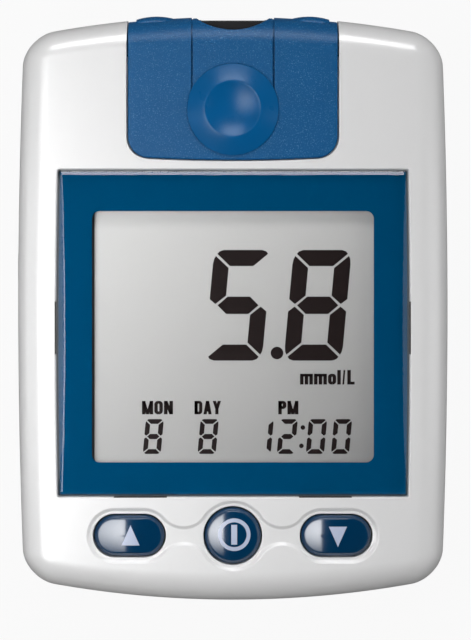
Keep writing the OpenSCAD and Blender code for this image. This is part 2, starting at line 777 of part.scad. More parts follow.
module battery_door() {
    grip_y = door_y - 3.5;
    grip_r = 0.4;
    grip_l = 14;
    color(PEARL_WHITE) difference() {
        intersection() {
            block(0, 0, seam_z, back_edge_r, 0);
            union() {
                box(0, door_y - body_l / 2, door_rise, door_w, body_l, door_t);
                box(0, door_y - body_l / 2, rail_z - rail_t / 2, door_w + 2 * rail_w, body_l, rail_t);
            }
        }
        for (k = [0:grip_ribs - 1]) {
            translate([0, grip_y - k * grip_pitch, door_rise]) rotate([0, 90, 0])
                cylinder(r = grip_r, h = grip_l, center = true);
        }
    }
}

module port_cover() {
    color(MATTE_BLUE) difference() {
        union() {
            intersection() {
                block(cover_inset, seam_z, cover_top, 0, face_edge_r);
                translate([0, 0, seam_z]) linear_extrude(height = tall) cover_plan(0);
                union() {
                    difference() {
                        box(0, 0, seam_z, 2 * body_w, 2 * body_l, tall);
                        block(cover_inset + cover_t, seam_z - 1, cover_under, 0, face_edge_r - cover_t);
                    }
                    box(spring_x, fixed_lug_y + lug_t / 2, lug_low, lug_w, lug_t,
                        cover_under - lug_low + overlap);
                }
            }
            for (side = [-1, 1]) {
                end_lobe(side * lobe_x);
            }
        }
        box(0, tongue_y + tall / 2, board_top - 0.3, tongue_w + 2 * seam_gap, tall + 2 * seam_gap, tall);
    }
}

// Soft upright lobe on the cover's end
module end_lobe(x) {
    end_y = body_l / 2 - cover_inset - bow(x, end_arc_r);
    r = (lobe_w * lobe_w / 4 + lobe_rise * lobe_rise) / (2 * lobe_rise);
    crown = cover_top - face_edge_r;
    slope_h = 2.4;
    intersection() {
        translate([x, end_y + lobe_rise - r, 0]) union() {
            translate([0, 0, seam_z + 1]) cylinder(r = r, h = crown - seam_z - 1);
            translate([0, 0, crown]) cylinder(r1 = r, r2 = r - 1.2, h = slope_h);
        }
        box(x, end_y, seam_z, lobe_w, 2 * cover_t - 0.2, tall);
    }
}

module ejector_slider() {
    color(MATTE_BLUE) union() {
        difference() {
            intersection() {
                block(cover_inset, seam_z, cover_top, 0, face_edge_r);
                box(0, tongue_y + tall / 2, tongue_under, tongue_w, tall, tall);
                difference() {
                    box(0, 0, seam_z, 2 * body_w, 2 * body_l, tall);
                    block(cover_inset + cover_t, seam_z - 1, cover_under, 0, face_edge_r - cover_t);
                }
            }
            translate([0, scoop_y + scoop_r, 0]) cylinder(r = scoop_r, h = tall, $fn = 128);
            translate([0, pad_y, cover_under - 1]) cylinder(r = stem_r + bore_gap, h = 4);
        }
        difference() {
            union() {
                slider_box(0, tongue_w, tongue_y, flange_end, flange_bottom, cover_under + overlap);
                slider_box(0, tongue_w + 2 * slider_flange_w, slider_y, flange_end, flange_bottom,
                    flange_top);
                slider_box(spring_x - 1, lug_w + 4, slider_lug_y - lug_t, slider_lug_y + 1, flange_bottom,
                    flange_top);
            }
            translate([0, pad_y, flange_bottom - 1]) cylinder(r = stem_r + bore_gap, h = 4);
        }
        slider_box(0, blade_w, post_front - post_l, post_front, slot_z + blade_gap, flange_bottom + overlap);
        slider_box(0, blade_w, post_front - post_l, blade_tip, slot_z + blade_gap,
            slot_z + slot_h - blade_gap);
        slider_box(spring_x, lug_w, slider_lug_y - lug_t, slider_lug_y, lug_low, flange_bottom + overlap);
    }
}

module slider_box(x, w, from_y, to_y, low, high) {
    box(x, (from_y + to_y) / 2, low, w, to_y - from_y, high - low);
}

module ejector_pad() {
    seat = 0.15;
    seat_r = pad_y - tongue_y - 0.1;
    dish_sphere_r = (dish_r * dish_r + dish_depth * dish_depth) / (2 * dish_depth);
    color(MATTE_BLUE) translate([0, pad_y, 0]) difference() {
        union() {
            rotate_extrude($fn = 96) polygon([
                [0, cover_top], [seat_r, cover_top], [seat_r, cover_top + seat],
                [pad_r - 0.15, cover_top + seat], [pad_r, cover_top + seat + 0.15],
                [pad_crest_r + 0.35, cover_top + pad_h - 0.12], [pad_crest_r, cover_top + pad_h],
                [0, cover_top + pad_h]]);
            translate([0, 0, flange_bottom + 0.1]) cylinder(r = stem_r, h = cover_top - flange_bottom);
        }
        translate([0, 0, cover_top + pad_h - dish_depth + dish_sphere_r]) sphere(r = dish_sphere_r, $fn = 96);
    }
}

module ejector_spring() {
    color(STEEL) translate([spring_x, 0, spring_z]) rotate([0, 0, 90])
        helix(slider_lug_y + spring_wire_r + spring_play, fixed_lug_y - spring_wire_r - spring_play,
            spring_coil_r, spring_coil_r, spring_turns, spring_wire_r, 12);
}

module strip_port() {
    mouth = 1.2;
    color(BLACK_PLASTIC) difference() {
        box(0, (port_front + port_back) / 2, board_top, port_w, port_l, port_h);
        box(0, (port_front + port_back) / 2, slot_z, slot_w, port_l + 2, slot_h);
        hull() {
            box(0, port_front - mouth, slot_z, slot_w, slice_t, slot_h);
            box(0, port_front + slice_t, slot_z - 0.3, slot_w + 1, slice_t, slot_h + 0.6);
        }
    }
}

module strip_contacts() {
    pitch = 1.4;
    contact_w = 0.6;
    strip_l = 4;
    strip_t = 0.15;
    contact_y = port_front - strip_l / 2 - 2.5;
    color(BRASS) for (k = [0:contact_count - 1]) {
        box((k - (contact_count - 1) / 2) * pitch, contact_y, slot_z, contact_w, strip_l, strip_t);
    }
}

// Plan of the lens, with bowed long sides; a positive margin grows it
function lens_outline(margin) =
    let (w = lens_w / 2 + margin, l = lens_l / 2 + margin, r = 0.5 + margin)
    let (along = between([0, -l], [0, l], lens_steps))
    [for (p = concat(
        arc(w - lens_bow - r, l - r, r, 0, 90, 3),
        arc(r + lens_bow - w, l - r, r, 90, 180, 3),
        [for (q = along) [-lens_side(-q[1], margin), -q[1]]],
        arc(r + lens_bow - w, r - l, r, 180, 270, 3),
        arc(w - lens_bow - r, r - l, r, 270, 360, 3),
        [for (q = along) [lens_side(q[1], margin), q[1]]])) [p[0], p[1] + lens_y]];

// Half width of the lens at a distance from its middle
function lens_side(y, margin) = lens_w / 2 + margin - lens_bow * pow(2 * y / lens_l, 2);

// Rise of the lens's arched top above its edge
function lens_rise(y) = lens_mid_rise - (lens_mid_rise - lens_end_rise) * pow(2 * y / lens_l, 2);

module display_lens() {
    edge_top = face_z + lens_edge_rise;
    end = lens_l / 2 - end_bevel;
    color(LENS_BLUE, 0.6) hull() {
        translate([0, 0, lens_z]) linear_extrude(height = edge_top - lens_z) polygon(lens_outline(0));
        for (k = [0:lens_steps]) {
            y = max(-end, min(end, (2 * k / lens_steps - 1) * lens_l / 2));
            rise = lens_rise(y);
            top_w = 2 * (lens_side(y, 0) - rise / tan(bevel_angle));
            box(0, lens_y + y, edge_top, top_w, slice_t, rise);
        }
    }
}

module lens_print() {
    color(LENS_BLUE) difference() {
        translate([0, 0, pocket_z]) linear_extrude(height = print_t) polygon(lens_outline(-0.1));
        rounded_box(0, window_y, pocket_z - 1, window_w, window_l, 3, window_r);
    }
}

module lcd_gasket() {
    color(BLACK_PLASTIC) difference() {
        box(0, window_y, ledge_z - gasket_t, glass_w, glass_l, gasket_t);
        box(0, window_y, ledge_z - gasket_t - 1, window_w + 1, window_l + 1, gasket_t + 2);
    }
}

module lcd_glass() {
    color(LCD_GREY) box(0, window_y, glass_z, glass_w, glass_l, glass_t);
}

module lcd_reflector() {
    color(STEEL) box(0, window_y, glass_z - reflector_t, glass_w - 1, glass_l - 2 * zebra_w - 2, reflector_t);
}

module lcd_holder() {
    room = 0.1;
    floor_h = zebra_h - reflector_t;
    color(PEARL_WHITE) difference() {
        box(0, window_y, board_top, glass_w + 2 * holder_wall, glass_l + 2 * holder_wall, zebra_h + glass_t);
        box(0, window_y, board_top + floor_h, glass_w + 2 * room, glass_l + 2 * room, tall);
        for (side = [-1, 1]) {
            box(0, window_y + side * zebra_y(), board_top - 1, zebra_l + 2 * room, zebra_w + 2 * room, tall);
        }
    }
}

// Distance of each contact strip from the middle of the glass
function zebra_y() = glass_l / 2 - zebra_w / 2 - 0.3;

module zebra_strips() {
    color("dimgray") for (side = [-1, 1]) {
        box(0, window_y + side * zebra_y(), board_top, zebra_l, zebra_w, zebra_h);
    }
}

module main_board() {
    boss_gap = 0.3;
    notch_w = 2 * (boss_r + boss_gap);
    color(BOARD_GREEN) difference() {
        rounded_box(0, 0, board_z, board_w, board_l, board_t, 1.5);
        for (place = boss_places) {
            translate([place[0], place[1], board_z - 1]) cylinder(d = notch_w, h = board_t + 2);
        }
        for (side = [-1, 1]) {
            box(side * (upper_boss_x + boss_r), upper_boss_y, board_z - 1, 2 * boss_r, notch_w, board_t + 2);
            box(side * upper_boss_x, upper_boss_y + boss_r, board_z - 1, notch_w, 2 * boss_r, board_t + 2);
            box(side * lower_boss_x, lower_boss_y - boss_r, board_z - 1, notch_w, 2 * boss_r, board_t + 2);
        }
        plate_slots(board_z - 1, board_top + 1);
        for (place = post_places) {
            translate([place[0], place[1], board_z - 1]) cylinder(r = small_shank_r + 0.2, h = board_t + 2);
        }
    }
}

module processor() {
    leads = floor((processor_w - 1) / lead_pitch);
    color(BLACK_PLASTIC) union() {
        box(0, processor_y, board_z - processor_h, processor_w, processor_w, processor_h);
        for (k = [0:leads - 1]) {
            along = (k - (leads - 1) / 2) * lead_pitch;
            box(along, processor_y, board_z - lead_t, lead_w, processor_w + 2 * lead_l, lead_t);
            box(0, processor_y + along, board_z - lead_t, processor_w + 2 * lead_l, lead_w, lead_t);
        }
    }
}

module analog_chip() {
    leads = floor((analog_w - 1) / lead_pitch);
    color(BLACK_PLASTIC) union() {
        box(-analog_side, analog_y, board_z - analog_h, analog_w, analog_l, analog_h);
        for (k = [0:leads - 1]) {
            box(-analog_side + (k - (leads - 1) / 2) * lead_pitch, analog_y, board_z - lead_t, lead_w,
                analog_l + 2 * lead_l, lead_t);
        }
    }
}

module crystal() {
    lead_z = board_z - crystal_r - crystal_lead / 2;
    color(STEEL) union() {
        translate([crystal_side, crystal_y, board_z - crystal_r]) rotate([-90, 0, 0])
            cylinder(r = crystal_r, h = crystal_l);
        for (side = [-1, 1]) {
            x = crystal_side + side * crystal_r / 3;
            box(x, crystal_y - crystal_lead, lead_z, crystal_lead, 4 * crystal_lead, crystal_lead);
            box(x, crystal_y - 3 * crystal_lead, lead_z, crystal_lead, crystal_lead, board_z - lead_z);
        }
    }
}

module board_passives() {
    color("tan") for (side = [-1, 1]) {
        for (k = [0:passive_count - 1]) {
            for (row = [0, 1]) {
                box(side * (passive_x + passive_pitch * k), passive_y - row * passive_row_gap, board_top,
                    passive_w, passive_l, passive_h);
            }
        }
    }
}

module buzzer() {
    color(BLACK_PLASTIC) difference() {
        translate([buzzer_x, buzzer_y, board_z - buzzer_h]) cylinder(r = buzzer_r, h = buzzer_h);
        translate([buzzer_x, buzzer_y, board_z - buzzer_h - 1]) cylinder(r = buzzer_r / 5, h = 2);
    }
}

// Body of a key, its flange and its stem
module key(x, w, l) {
    top = face_z + key_rise;
    color(KEY_NAVY) union() {
        intersection() {
            oval(x, key_y, key_flange_low, w - 2 * key_gap, l - 2 * key_gap, tall);
            translate([x, key_y, top - key_dome_r]) sphere(r = key_dome_r, $fn = 128);
        }
        oval(x, key_y, key_flange_low, w + 2 * key_flange, l + 2 * key_flange, key_flange_t);
        translate([x, key_y, plunger_top]) cylinder(r = stem_r, h = key_flange_low - plunger_top + overlap);
    }
}

module key_switch(x) {
    color(BLACK_PLASTIC) difference() {
        box(x, key_y, board_top, switch_w, switch_w, switch_h);
        translate([x, key_y, switch_top - switch_bore_depth])
            cylinder(r = plunger_r + bore_gap, h = switch_bore_depth + 1);
    }
}

module key_plunger(x) {
    color(STEEL) translate([x, key_y, plunger_low]) cylinder(r = plunger_r, h = plunger_top - plunger_low);
}

module up_key() { key(-key_x, key_w, key_l); }
module power_key() { key(0, power_d, power_d); }
module down_key() { key(key_x, key_w, key_l); }
module up_switch() { key_switch(-key_x); }
module power_switch() { key_switch(0); }
module down_switch() { key_switch(key_x); }
module up_plunger() { key_plunger(-key_x); }
module power_plunger() { key_plunger(0); }
module down_plunger() { key_plunger(key_x); }

// An upright oval drawn along X, from one distance left of the middle to another
module side_oval(l, h, from_x, to_x) {
    for (end = [-1, 1]) {
        translate([-from_x, set_y + end * (l - h) / 2, set_z]) rotate([0, 90, 0])
            cylinder(d = h, h = from_x - to_x);
    }
    translate([-from_x, set_y - (l - h) / 2, set_z - h / 2]) cube([from_x - to_x, l - h, h]);
}

module set_button() {
    tip = set_wall_x + set_rise;
    color(PEARL_WHITE) union() {
        intersection() {
            side_oval(set_l, set_h, tip, set_flange_x - set_flange_t);
            translate([set_dome_r - tip, set_y, set_z]) sphere(r = set_dome_r, $fn = 128);
        }
        side_oval(set_l + 2 * set_flange, set_h + 2 * set_flange, set_flange_x, set_flange_x - set_flange_t);
        translate([-set_flange_x, set_y, set_z]) rotate([0, 90, 0])
            cylinder(r = set_stem_r, h = set_flange_x - set_plunger_out);
    }
}

module set_switch() {
    color(BLACK_PLASTIC) difference() {
        box(set_switch_l / 2 - set_switch_x, set_y, board_z - set_switch_h, set_switch_l, switch_w,
            set_switch_h);
        translate([-set_switch_x - 1, set_y, set_z]) rotate([0, 90, 0])
            cylinder(r = plunger_r + bore_gap, h = 2.3);
    }
}

module set_plunger() {
    color(STEEL) translate([-set_plunger_out, set_y, set_z]) rotate([0, 90, 0])
        cylinder(r = plunger_r, h = set_plunger_out - set_plunger_in);
}

// A cell in its row, with its nub towards the given side
module battery(row, nub_side) {
    from_x = -nub_side * (bay_l / 2 - plate_t - contact_l);
    color("darkslategray") translate([from_x, bay_y + row * cell_y, battery_z])
        rotate([0, nub_side * 90, 0]) union() {
            cylinder(d = battery_d, h = battery_l - nub_h);
            cylinder(r = nub_r, h = battery_l);
        }
}

module battery_upper() { battery(1, 1); }
module battery_lower() { battery(-1, -1); }

module battery_springs() {
    color(STEEL) for (row = [-1, 1]) {
        translate([0, bay_y + row * cell_y, battery_z]) rotate([0, 0, row > 0 ? 180 : 0])
            helix(bay_l / 2 - plate_t - contact_wire_r - spring_play,
                bay_l / 2 - plate_t - contact_l + contact_wire_r + spring_play,
                contact_big_r, contact_small_r, contact_turns, contact_wire_r, 14);
    }
}

module battery_plates() {
    color(STEEL) for (side = [-1, 1]) {
        for (row = [-1, 1]) {
            box(side * (bay_l - plate_t) / 2, bay_y + row * cell_y, battery_z - plate_h / 2, plate_t, plate_w,
                plate_h);
            box(side * (bay_l - plate_t) / 2, bay_y + row * cell_y, battery_z, plate_t, tail_w,
                board_top - 0.1 - battery_z);
        }
    }
}

module case_screws() {
    color(STEEL) for (place = boss_places) {
        translate([place[0], place[1], 0]) screw(head_z, head_r, head_h, shank_r, shank_l);
    }
}

module board_screws() {
    color(STEEL) for (place = post_places) {
        translate([place[0], place[1], 0])
            screw(board_z - small_head_h, small_head_r, small_head_h, small_shank_r, small_shank_l);
    }
}

front_case();
back_case();
port_cover();
display_lens();
lens_print();
lcd_gasket();
lcd_glass();
lcd_reflector();
lcd_holder();
zebra_strips();
main_board();
processor();
analog_chip();
crystal();
board_passives();
buzzer();
strip_port();
strip_contacts();
ejector_slider();
ejector_pad();
ejector_spring();
up_key();
power_key();
down_key();
up_switch();
power_switch();
down_switch();
up_plunger();
power_plunger();
down_plunger();
set_button();
set_switch();
set_plunger();
battery_door();
battery_upper();
battery_lower();
battery_springs();
battery_plates();
case_screws();
board_screws();
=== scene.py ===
"""Looks of a blood glucose meter that lies on its back, seen from straight above.

Shapes are worked out in millimetres, in the same frame as the CAD model.
"""
import math

import bpy
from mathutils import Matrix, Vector


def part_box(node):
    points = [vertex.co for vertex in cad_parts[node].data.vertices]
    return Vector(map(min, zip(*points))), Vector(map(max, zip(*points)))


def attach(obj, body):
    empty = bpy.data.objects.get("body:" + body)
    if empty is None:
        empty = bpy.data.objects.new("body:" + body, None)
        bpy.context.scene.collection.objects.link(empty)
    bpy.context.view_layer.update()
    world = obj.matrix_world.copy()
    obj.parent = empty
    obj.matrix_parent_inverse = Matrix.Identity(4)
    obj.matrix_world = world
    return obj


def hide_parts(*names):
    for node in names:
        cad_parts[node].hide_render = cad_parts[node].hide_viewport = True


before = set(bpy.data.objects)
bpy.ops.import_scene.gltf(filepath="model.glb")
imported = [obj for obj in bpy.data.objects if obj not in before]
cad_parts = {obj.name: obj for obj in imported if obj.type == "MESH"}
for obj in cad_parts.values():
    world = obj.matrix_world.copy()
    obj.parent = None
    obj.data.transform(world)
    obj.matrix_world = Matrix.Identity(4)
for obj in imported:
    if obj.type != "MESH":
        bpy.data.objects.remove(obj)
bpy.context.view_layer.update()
MM = 0.001


# ---- sizes, in millimetres
def low(node, axis):
    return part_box(node)[0][axis] / MM


def high(node, axis):
    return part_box(node)[1][axis] / MM


def middle(node, axis):
    return (low(node, axis) + high(node, axis)) / 2


def span(node, axis):
    return high(node, axis) - low(node, axis)


X, Y, Z = 0, 1, 2
TALL = 60

BODY_W = span("front_case", X)
BODY_L = span("back_case", Y)
SIDE_ARC_R = 1100
END_ARC_R = 160
CORNER_R = 4.8
SMALLEST_CORNER = 0.8
FACE_EDGE_R = 4.6
BACK_EDGE_R = 3.4
SEAM_EDGE = 0.12
WALL = 1.9
FLOOR_T = 1.8
SEAM_Z = low("front_case", Z)
FACE_Z = high("front_case", Z)

POCKET_Z = low("lens_print", Z)
LENS_Z = low("display_lens", Z)
# The photographed lens reaches a little farther than the CAD lens at its sides and its lower end.
LENS_SPREAD = 0.25
LENS_LONGER = 0.42
LENS_W = span("display_lens", X) + 2 * LENS_SPREAD
LENS_L = span("display_lens", Y) + LENS_LONGER
LENS_Y = (high("display_lens", Y) + low("display_lens", Y) - LENS_LONGER) / 2
LENS_EDGE_TOP = FACE_Z + 0.1
LENS_END_RISE = 0.34
LENS_MID_RISE = 0.89
LENS_BOW = 0.25
LENS_BEVEL = math.radians(36)
LENS_END_BEVEL = 0.5
BORDER_SIDE = 4.95 + LENS_SPREAD
BORDER_TOP = 5.99
BORDER_BOTTOM = 4.51 + LENS_LONGER
WINDOW_R = 1.15
WINDOW_W = LENS_W - 2 * BORDER_SIDE
WINDOW_L = LENS_L - BORDER_TOP - BORDER_BOTTOM
WINDOW_Y = LENS_Y + (BORDER_BOTTOM - BORDER_TOP) / 2
LEDGE_RISE = 0.4
LEDGE_Z = low("lcd_gasket", Z) + LEDGE_RISE
GLASS_TOP = high("lcd_glass", Z)
LENS_GAP = 0.02
SLOT_L = 7.8
SLOT_X = 13.6
SLOT_Y = -3.0
SLOT_REACH = 0.14

COVER_W = 30.8
COVER_L = 21.83
COVER_Y = BODY_L / 2 - COVER_L
COVER_BOW_R = 231
COVER_CORNER_R = 3.1
COVER_T = 1.5
COVER_GAP = 0.2
COVER_INSET = 0.2
COVER_LEDGE = 1.4
COVER_TOP = FACE_Z + 0.15
COVER_UNDER = COVER_TOP - COVER_T
LOBE_W = 6
LOBE_X = 11.3
LOBE_RISE = 0.45
TONGUE_W = 11.75
SEAM_GAP = 0.25
RAIL_DROP = 0.55
PAD_FROM_EDGE = 7.38
PAD_Y = COVER_Y + PAD_FROM_EDGE
PAD_R = 6.75
PAD_TOP = high("ejector_pad", Z)
DISH_R = 4.03
DISH_DEPTH = 0.95
TONGUE_UNDER_PAD = 2.4
TONGUE_Y = PAD_Y - TONGUE_UNDER_PAD
TONGUE_CLEARANCE = 0.35
TONGUE_UNDER = high("strip_port", Z) + TONGUE_CLEARANCE
SCOOP_R = 10
SCOOP_DEPTH = 2.7
SCOOP_Y = BODY_L / 2 - SCOOP_DEPTH
PORT_SETBACK = 0.25
PORT_FRONT = high("strip_port", Y) - PORT_SETBACK

KEY_Y = middle("power_key", Y)
KEY_X = middle("down_key", X)
KEY_W = 10.7
KEY_L = 6.35
POWER_D = 8.6
KEY_GAP = 0.18
KEY_TOP = high("power_key", Z)
KEY_DOME_R = 18
SYMBOL_SHIFT = 0.2
RECESS_DEPTH = 0.35
RECESS_MARGIN = 0.66
RECESS_FILLET = 3.8
BUTTON_L = 6
BUTTON_H = 3
BUTTON_GAP = 0.12
PLATE_T = 0.02

# Each screw's distance from the side and from the upper or lower end of the case.
UPPER_SCREW = (6, 7.3)
LOWER_SCREW = (9.5, 5.9)
SCREWS = [(side * (BODY_W / 2 - from_side), end * (BODY_L / 2 - from_end)) for side in (-1, 1)
          for end, (from_side, from_end) in ((1, UPPER_SCREW), (-1, LOWER_SCREW))]
DOOR_GAP = 0.15
RAIL_W = 0.8
RAIL_T = 0.6
GROOVE_GAP = 0.12

# The camera looks straight down. PIXEL is the size of a picture element at the height of the case's outline.
PICTURE_W = 471
PICTURE_H = 640
CAMERA_PLANE = FACE_Z - FACE_EDGE_R
CAMERA_H = 275
PIXEL = 0.1492
CAMERA_X = 0.39
CAMERA_Y = -1.83


# ---- outlines
def bow(distance, radius):
    return radius - math.sqrt(radius * radius - distance * distance)


def bowed(x, y):
    return (x * (1 - 2 * bow(y, SIDE_ARC_R) / BODY_W), y * (1 - 2 * bow(x, END_ARC_R) / BODY_L))


def arc(x, y, radius, start, end, steps):
    turns = [math.radians(start + (end - start) * k / steps) for k in range(steps + 1)]
    return [(x + radius * math.cos(a), y + radius * math.sin(a)) for a in turns]


def circle(x, y, radius, points):
    return arc(x, y, radius, 0, 360 - 360 / points, points - 1)


def between(start, end, steps):
    return [tuple(a + (b - a) * k / steps for a, b in zip(start, end)) for k in range(1, steps)]


def case_outline(inset):
    w, l = BODY_W / 2 - inset, BODY_L / 2 - inset
    r = max(CORNER_R - inset, SMALLEST_CORNER)
    cx, cy = w - r, l - r
    corner, end, side = 24, 48, 30
    return [bowed(*p) for p in
            arc(cx, cy, r, 0, 90, corner) + between((cx, l), (-cx, l), end)
            + arc(-cx, cy, r, 90, 180, corner) + between((-w, cy), (-w, -cy), side)
            + arc(-cx, -cy, r, 180, 270, corner) + between((-cx, -l), (cx, -l), end)
            + arc(cx, -cy, r, 270, 360, corner) + between((w, -cy), (w, cy), side)]


def oval_outline(x, y, w, l):
    if w - l < 0.01:
        return circle(x, y, w / 2, 96)
    reach, r, straight, turn = (w - l) / 2, l / 2, 16, 40
    return (arc(x + reach, y, r, -90, 90, turn) + between((x + reach, y + r), (x - reach, y + r), straight)
            + arc(x - reach, y, r, 90, 270, turn) + between((x - reach, y - r), (x + reach, y - r), straight))


def rounded_outline(x, y, w, l, r):
    cx, cy, steps = w / 2 - r, l / 2 - r, 8
    return (arc(x + cx, y + cy, r, 0, 90, steps) + arc(x - cx, y + cy, r, 90, 180, steps)
            + arc(x - cx, y - cy, r, 180, 270, steps) + arc(x + cx, y - cy, r, 270, 360, steps))


def cover_outline(margin):
    w = COVER_W / 2 + margin
    r = max(COVER_CORNER_R + margin, 0.5)
    side_y = COVER_Y + bow(COVER_W / 2 - COVER_CORNER_R, COVER_BOW_R) - margin
    tilt = math.degrees(math.asin((w - r) / COVER_BOW_R))
    lower = [(x, COVER_Y - margin + bow(x, COVER_BOW_R)) for x, _ in between((r - w, 0), (w - r, 0), 40)]
    return ([(-w, BODY_L)] + arc(r - w, side_y + r, r, 180, 270 - tilt, 16) + lower
            + arc(w - r, side_y + r, r, 270 + tilt, 360, 16) + [(w, BODY_L)])


def lens_side(y, margin):
    return LENS_W / 2 + margin - LENS_BOW * (2 * y / LENS_L) ** 2


def lens_rise(y):
    return LENS_MID_RISE - (LENS_MID_RISE - LENS_END_RISE) * (2 * y / LENS_L) ** 2


def lens_outline(margin):
    r = 0.3 + max(margin, -0.2)
    w, l = LENS_W / 2 + margin - LENS_BOW - r, LENS_L / 2 + margin
    corner, side = 8, 48
    rows = [-p[0] for p in between((-l + r,), (l - r,), side)]
    points = (arc(w, l - r, r, 0, 90, corner) + arc(-w, l - r, r, 90, 180, corner)
              + [(-lens_side(y, margin), y) for y in rows]
              + arc(-w, r - l, r, 180, 270, corner) + arc(w, r - l, r, 270, 360, corner)
              + [(lens_side(y, margin), y) for y in reversed(rows)])
    return [(x, y + LENS_Y) for x, y in points]


def recess_outline(margin):
    """The recess round the keys: two ovals and a circle, joined by round inner corners."""
    key_r = KEY_L / 2 + RECESS_MARGIN
    power_r = POWER_D / 2 + RECESS_MARGIN
    inner = KEY_X - (KEY_W - KEY_L) / 2
    outer = KEY_X + (KEY_W - KEY_L) / 2
    a, b = power_r + RECESS_FILLET, key_r + RECESS_FILLET
    fx = (a * a - b * b + inner * inner) / (2 * inner)
    fy = math.sqrt(a * a - fx * fx)
    to_key = math.degrees(math.atan2(fy, fx - inner))
    to_power = math.degrees(math.atan2(fy, fx))
    quarter = (arc(outer, 0, key_r + margin, 0, 90, 20)
               + arc(inner, 0, key_r + margin, 90, to_key, 12)
               + arc(fx, fy, RECESS_FILLET - margin, to_key - 180, to_power - 180, 20)[1:-1]
               + arc(0, 0, power_r + margin, to_power, 90, 16))
    upper = quarter + [(-x, y) for x, y in reversed(quarter[:-1])]
    return [(x, KEY_Y + y) for x, y in upper + [(x, -y) for x, y in reversed(upper[1:-1])]]


# ---- meshes
def new_object(name, points, faces):
    mesh = bpy.data.meshes.new(name)
    mesh.from_pydata([(x * MM, y * MM, z * MM) for x, y, z in points], [], faces)
    mesh.validate()
    mesh.shade_smooth()
    obj = bpy.data.objects.new(name, mesh)
    bpy.context.scene.collection.objects.link(obj)
    return obj


def ring_walls(count, n):
    """The faces between rings of n points each."""
    return [[k * n + j, k * n + (j + 1) % n, (k + 1) * n + (j + 1) % n, (k + 1) * n + j]
            for k in range(count - 1) for j in range(n)]


def rings(name, layers):
    """A closed solid from rings of points with equal counts, listed from its bottom to its top."""
    n = len(layers[0])
    points = [p for layer in layers for p in layer]
    last = (len(layers) - 1) * n
    ends = [list(range(n - 1, -1, -1)), [last + j for j in range(n)]]
    return new_object(name, points, ring_walls(len(layers), n) + ends)


def prism(name, outline, profile):
    """A solid whose outline(margin) changes with height; profile lists (margin, height) from its bottom."""
    return rings(name, [[(x, y, z) for x, y in outline(margin)] for margin, z in profile])


def over(z, edge):
    """The part of a profile whose heights are given over z."""
    return [(margin, z + height) for margin, height in edge]


def block(name, inset, low_z, high_z, low_r, high_r, steps=14):
    quarter = [math.radians(90 * k / steps) for k in range(steps + 1)]
    bottom = ([(inset + low_r * (1 - math.sin(a)), low_z + low_r * (1 - math.cos(a))) for a in quarter]
              if low_r else [(inset, low_z)])
    top = ([(inset + high_r * (1 - math.cos(a)), high_z - high_r * (1 - math.sin(a))) for a in quarter]
           if high_r else [(inset, high_z)])
    return prism(name, case_outline, bottom + top)


def box(name, x, y, low_z, w, l, h):
    outline = [(x + w / 2, y + l / 2), (x - w / 2, y + l / 2), (x - w / 2, y - l / 2), (x + w / 2, y - l / 2)]
    return prism(name, lambda margin: outline, [(0, low_z), (0, low_z + h)])


def lathe(name, x, y, profile, steps=128):
    """A solid turned round an upright axis; profile lists (radius, height) from its bottom on the axis."""
    turns = [2 * math.pi * j / steps for j in range(steps)]
    inner = [(r, z) for r, z in profile if r > 0]
    points = [(x + r * math.cos(t), y + r * math.sin(t), z) for r, z in inner for t in turns]
    points += [(x, y, profile[0][1]), (x, y, profile[-1][1])]
    faces = ring_walls(len(inner), steps)
    bottom, top, last = len(points) - 2, len(points) - 1, (len(inner) - 1) * steps
    faces += [[bottom, (j + 1) % steps, j] for j in range(steps)]
    faces += [[top, last + j, last + (j + 1) % steps] for j in range(steps)]
    return new_object(name, points, faces)


def boolean(obj, operation, others):
    """Applies boolean cuts or joins, and removes the other solids."""
    for other in others:
        modifier = obj.modifiers.new(operation, "BOOLEAN")
        modifier.operation = operation
        modifier.solver = "EXACT"
        modifier.object = other
    graph = bpy.context.evaluated_depsgraph_get()
    mesh = bpy.data.meshes.new_from_object(obj.evaluated_get(graph))
    obj.modifiers.clear()
    obj.data = mesh
    for other in others:
        bpy.data.objects.remove(other)
    return obj


def cut(obj, *others):
    return boolean(obj, "DIFFERENCE", others)


def join(obj, *others):
    return boolean(obj, "UNION", others)


def overlap_of(obj, *others):
    return boolean(obj, "INTERSECT", others)


def dress(obj, body, slot_name, mat, *nodes, sharp=30):
    """Smooth shading with sharp corners, the material, and the place in the frame."""
    obj.data.shade_smooth()
    obj.data.set_sharp_from_angle(angle=math.radians(sharp))
    weighted = obj.modifiers.new("weighted", "WEIGHTED_NORMAL")
    weighted.keep_sharp = True
    if not obj.data.materials:
        obj.data.materials.append(mat)
    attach(obj, body)
    if nodes:
        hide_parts(*nodes)


# ---- materials
def add(tree, kind, values=None, **settings):
    """A new shader node with these settings, and with these values on its inputs."""
    node = tree.nodes.new("ShaderNode" + kind)
    for name, value in settings.items():
        setattr(node, name, value)
    for socket, value in (values or {}).items():
        node.inputs[socket].default_value = value
    return node


def wire(tree, *links):
    """Links sockets, each pair given as (node, output, node, input)."""
    for source, output, target, socket in links:
        tree.links.new(source.outputs[output], target.inputs[socket])


def new_material(name):
    mat = bpy.data.materials.new(name)
    mat.use_nodes = True
    return mat, mat.node_tree, mat.node_tree.nodes["Principled BSDF"]


GLOSS_SPREAD = 0.08
FLECK_FROM = 0.58
FLECK_FULL = 0.78


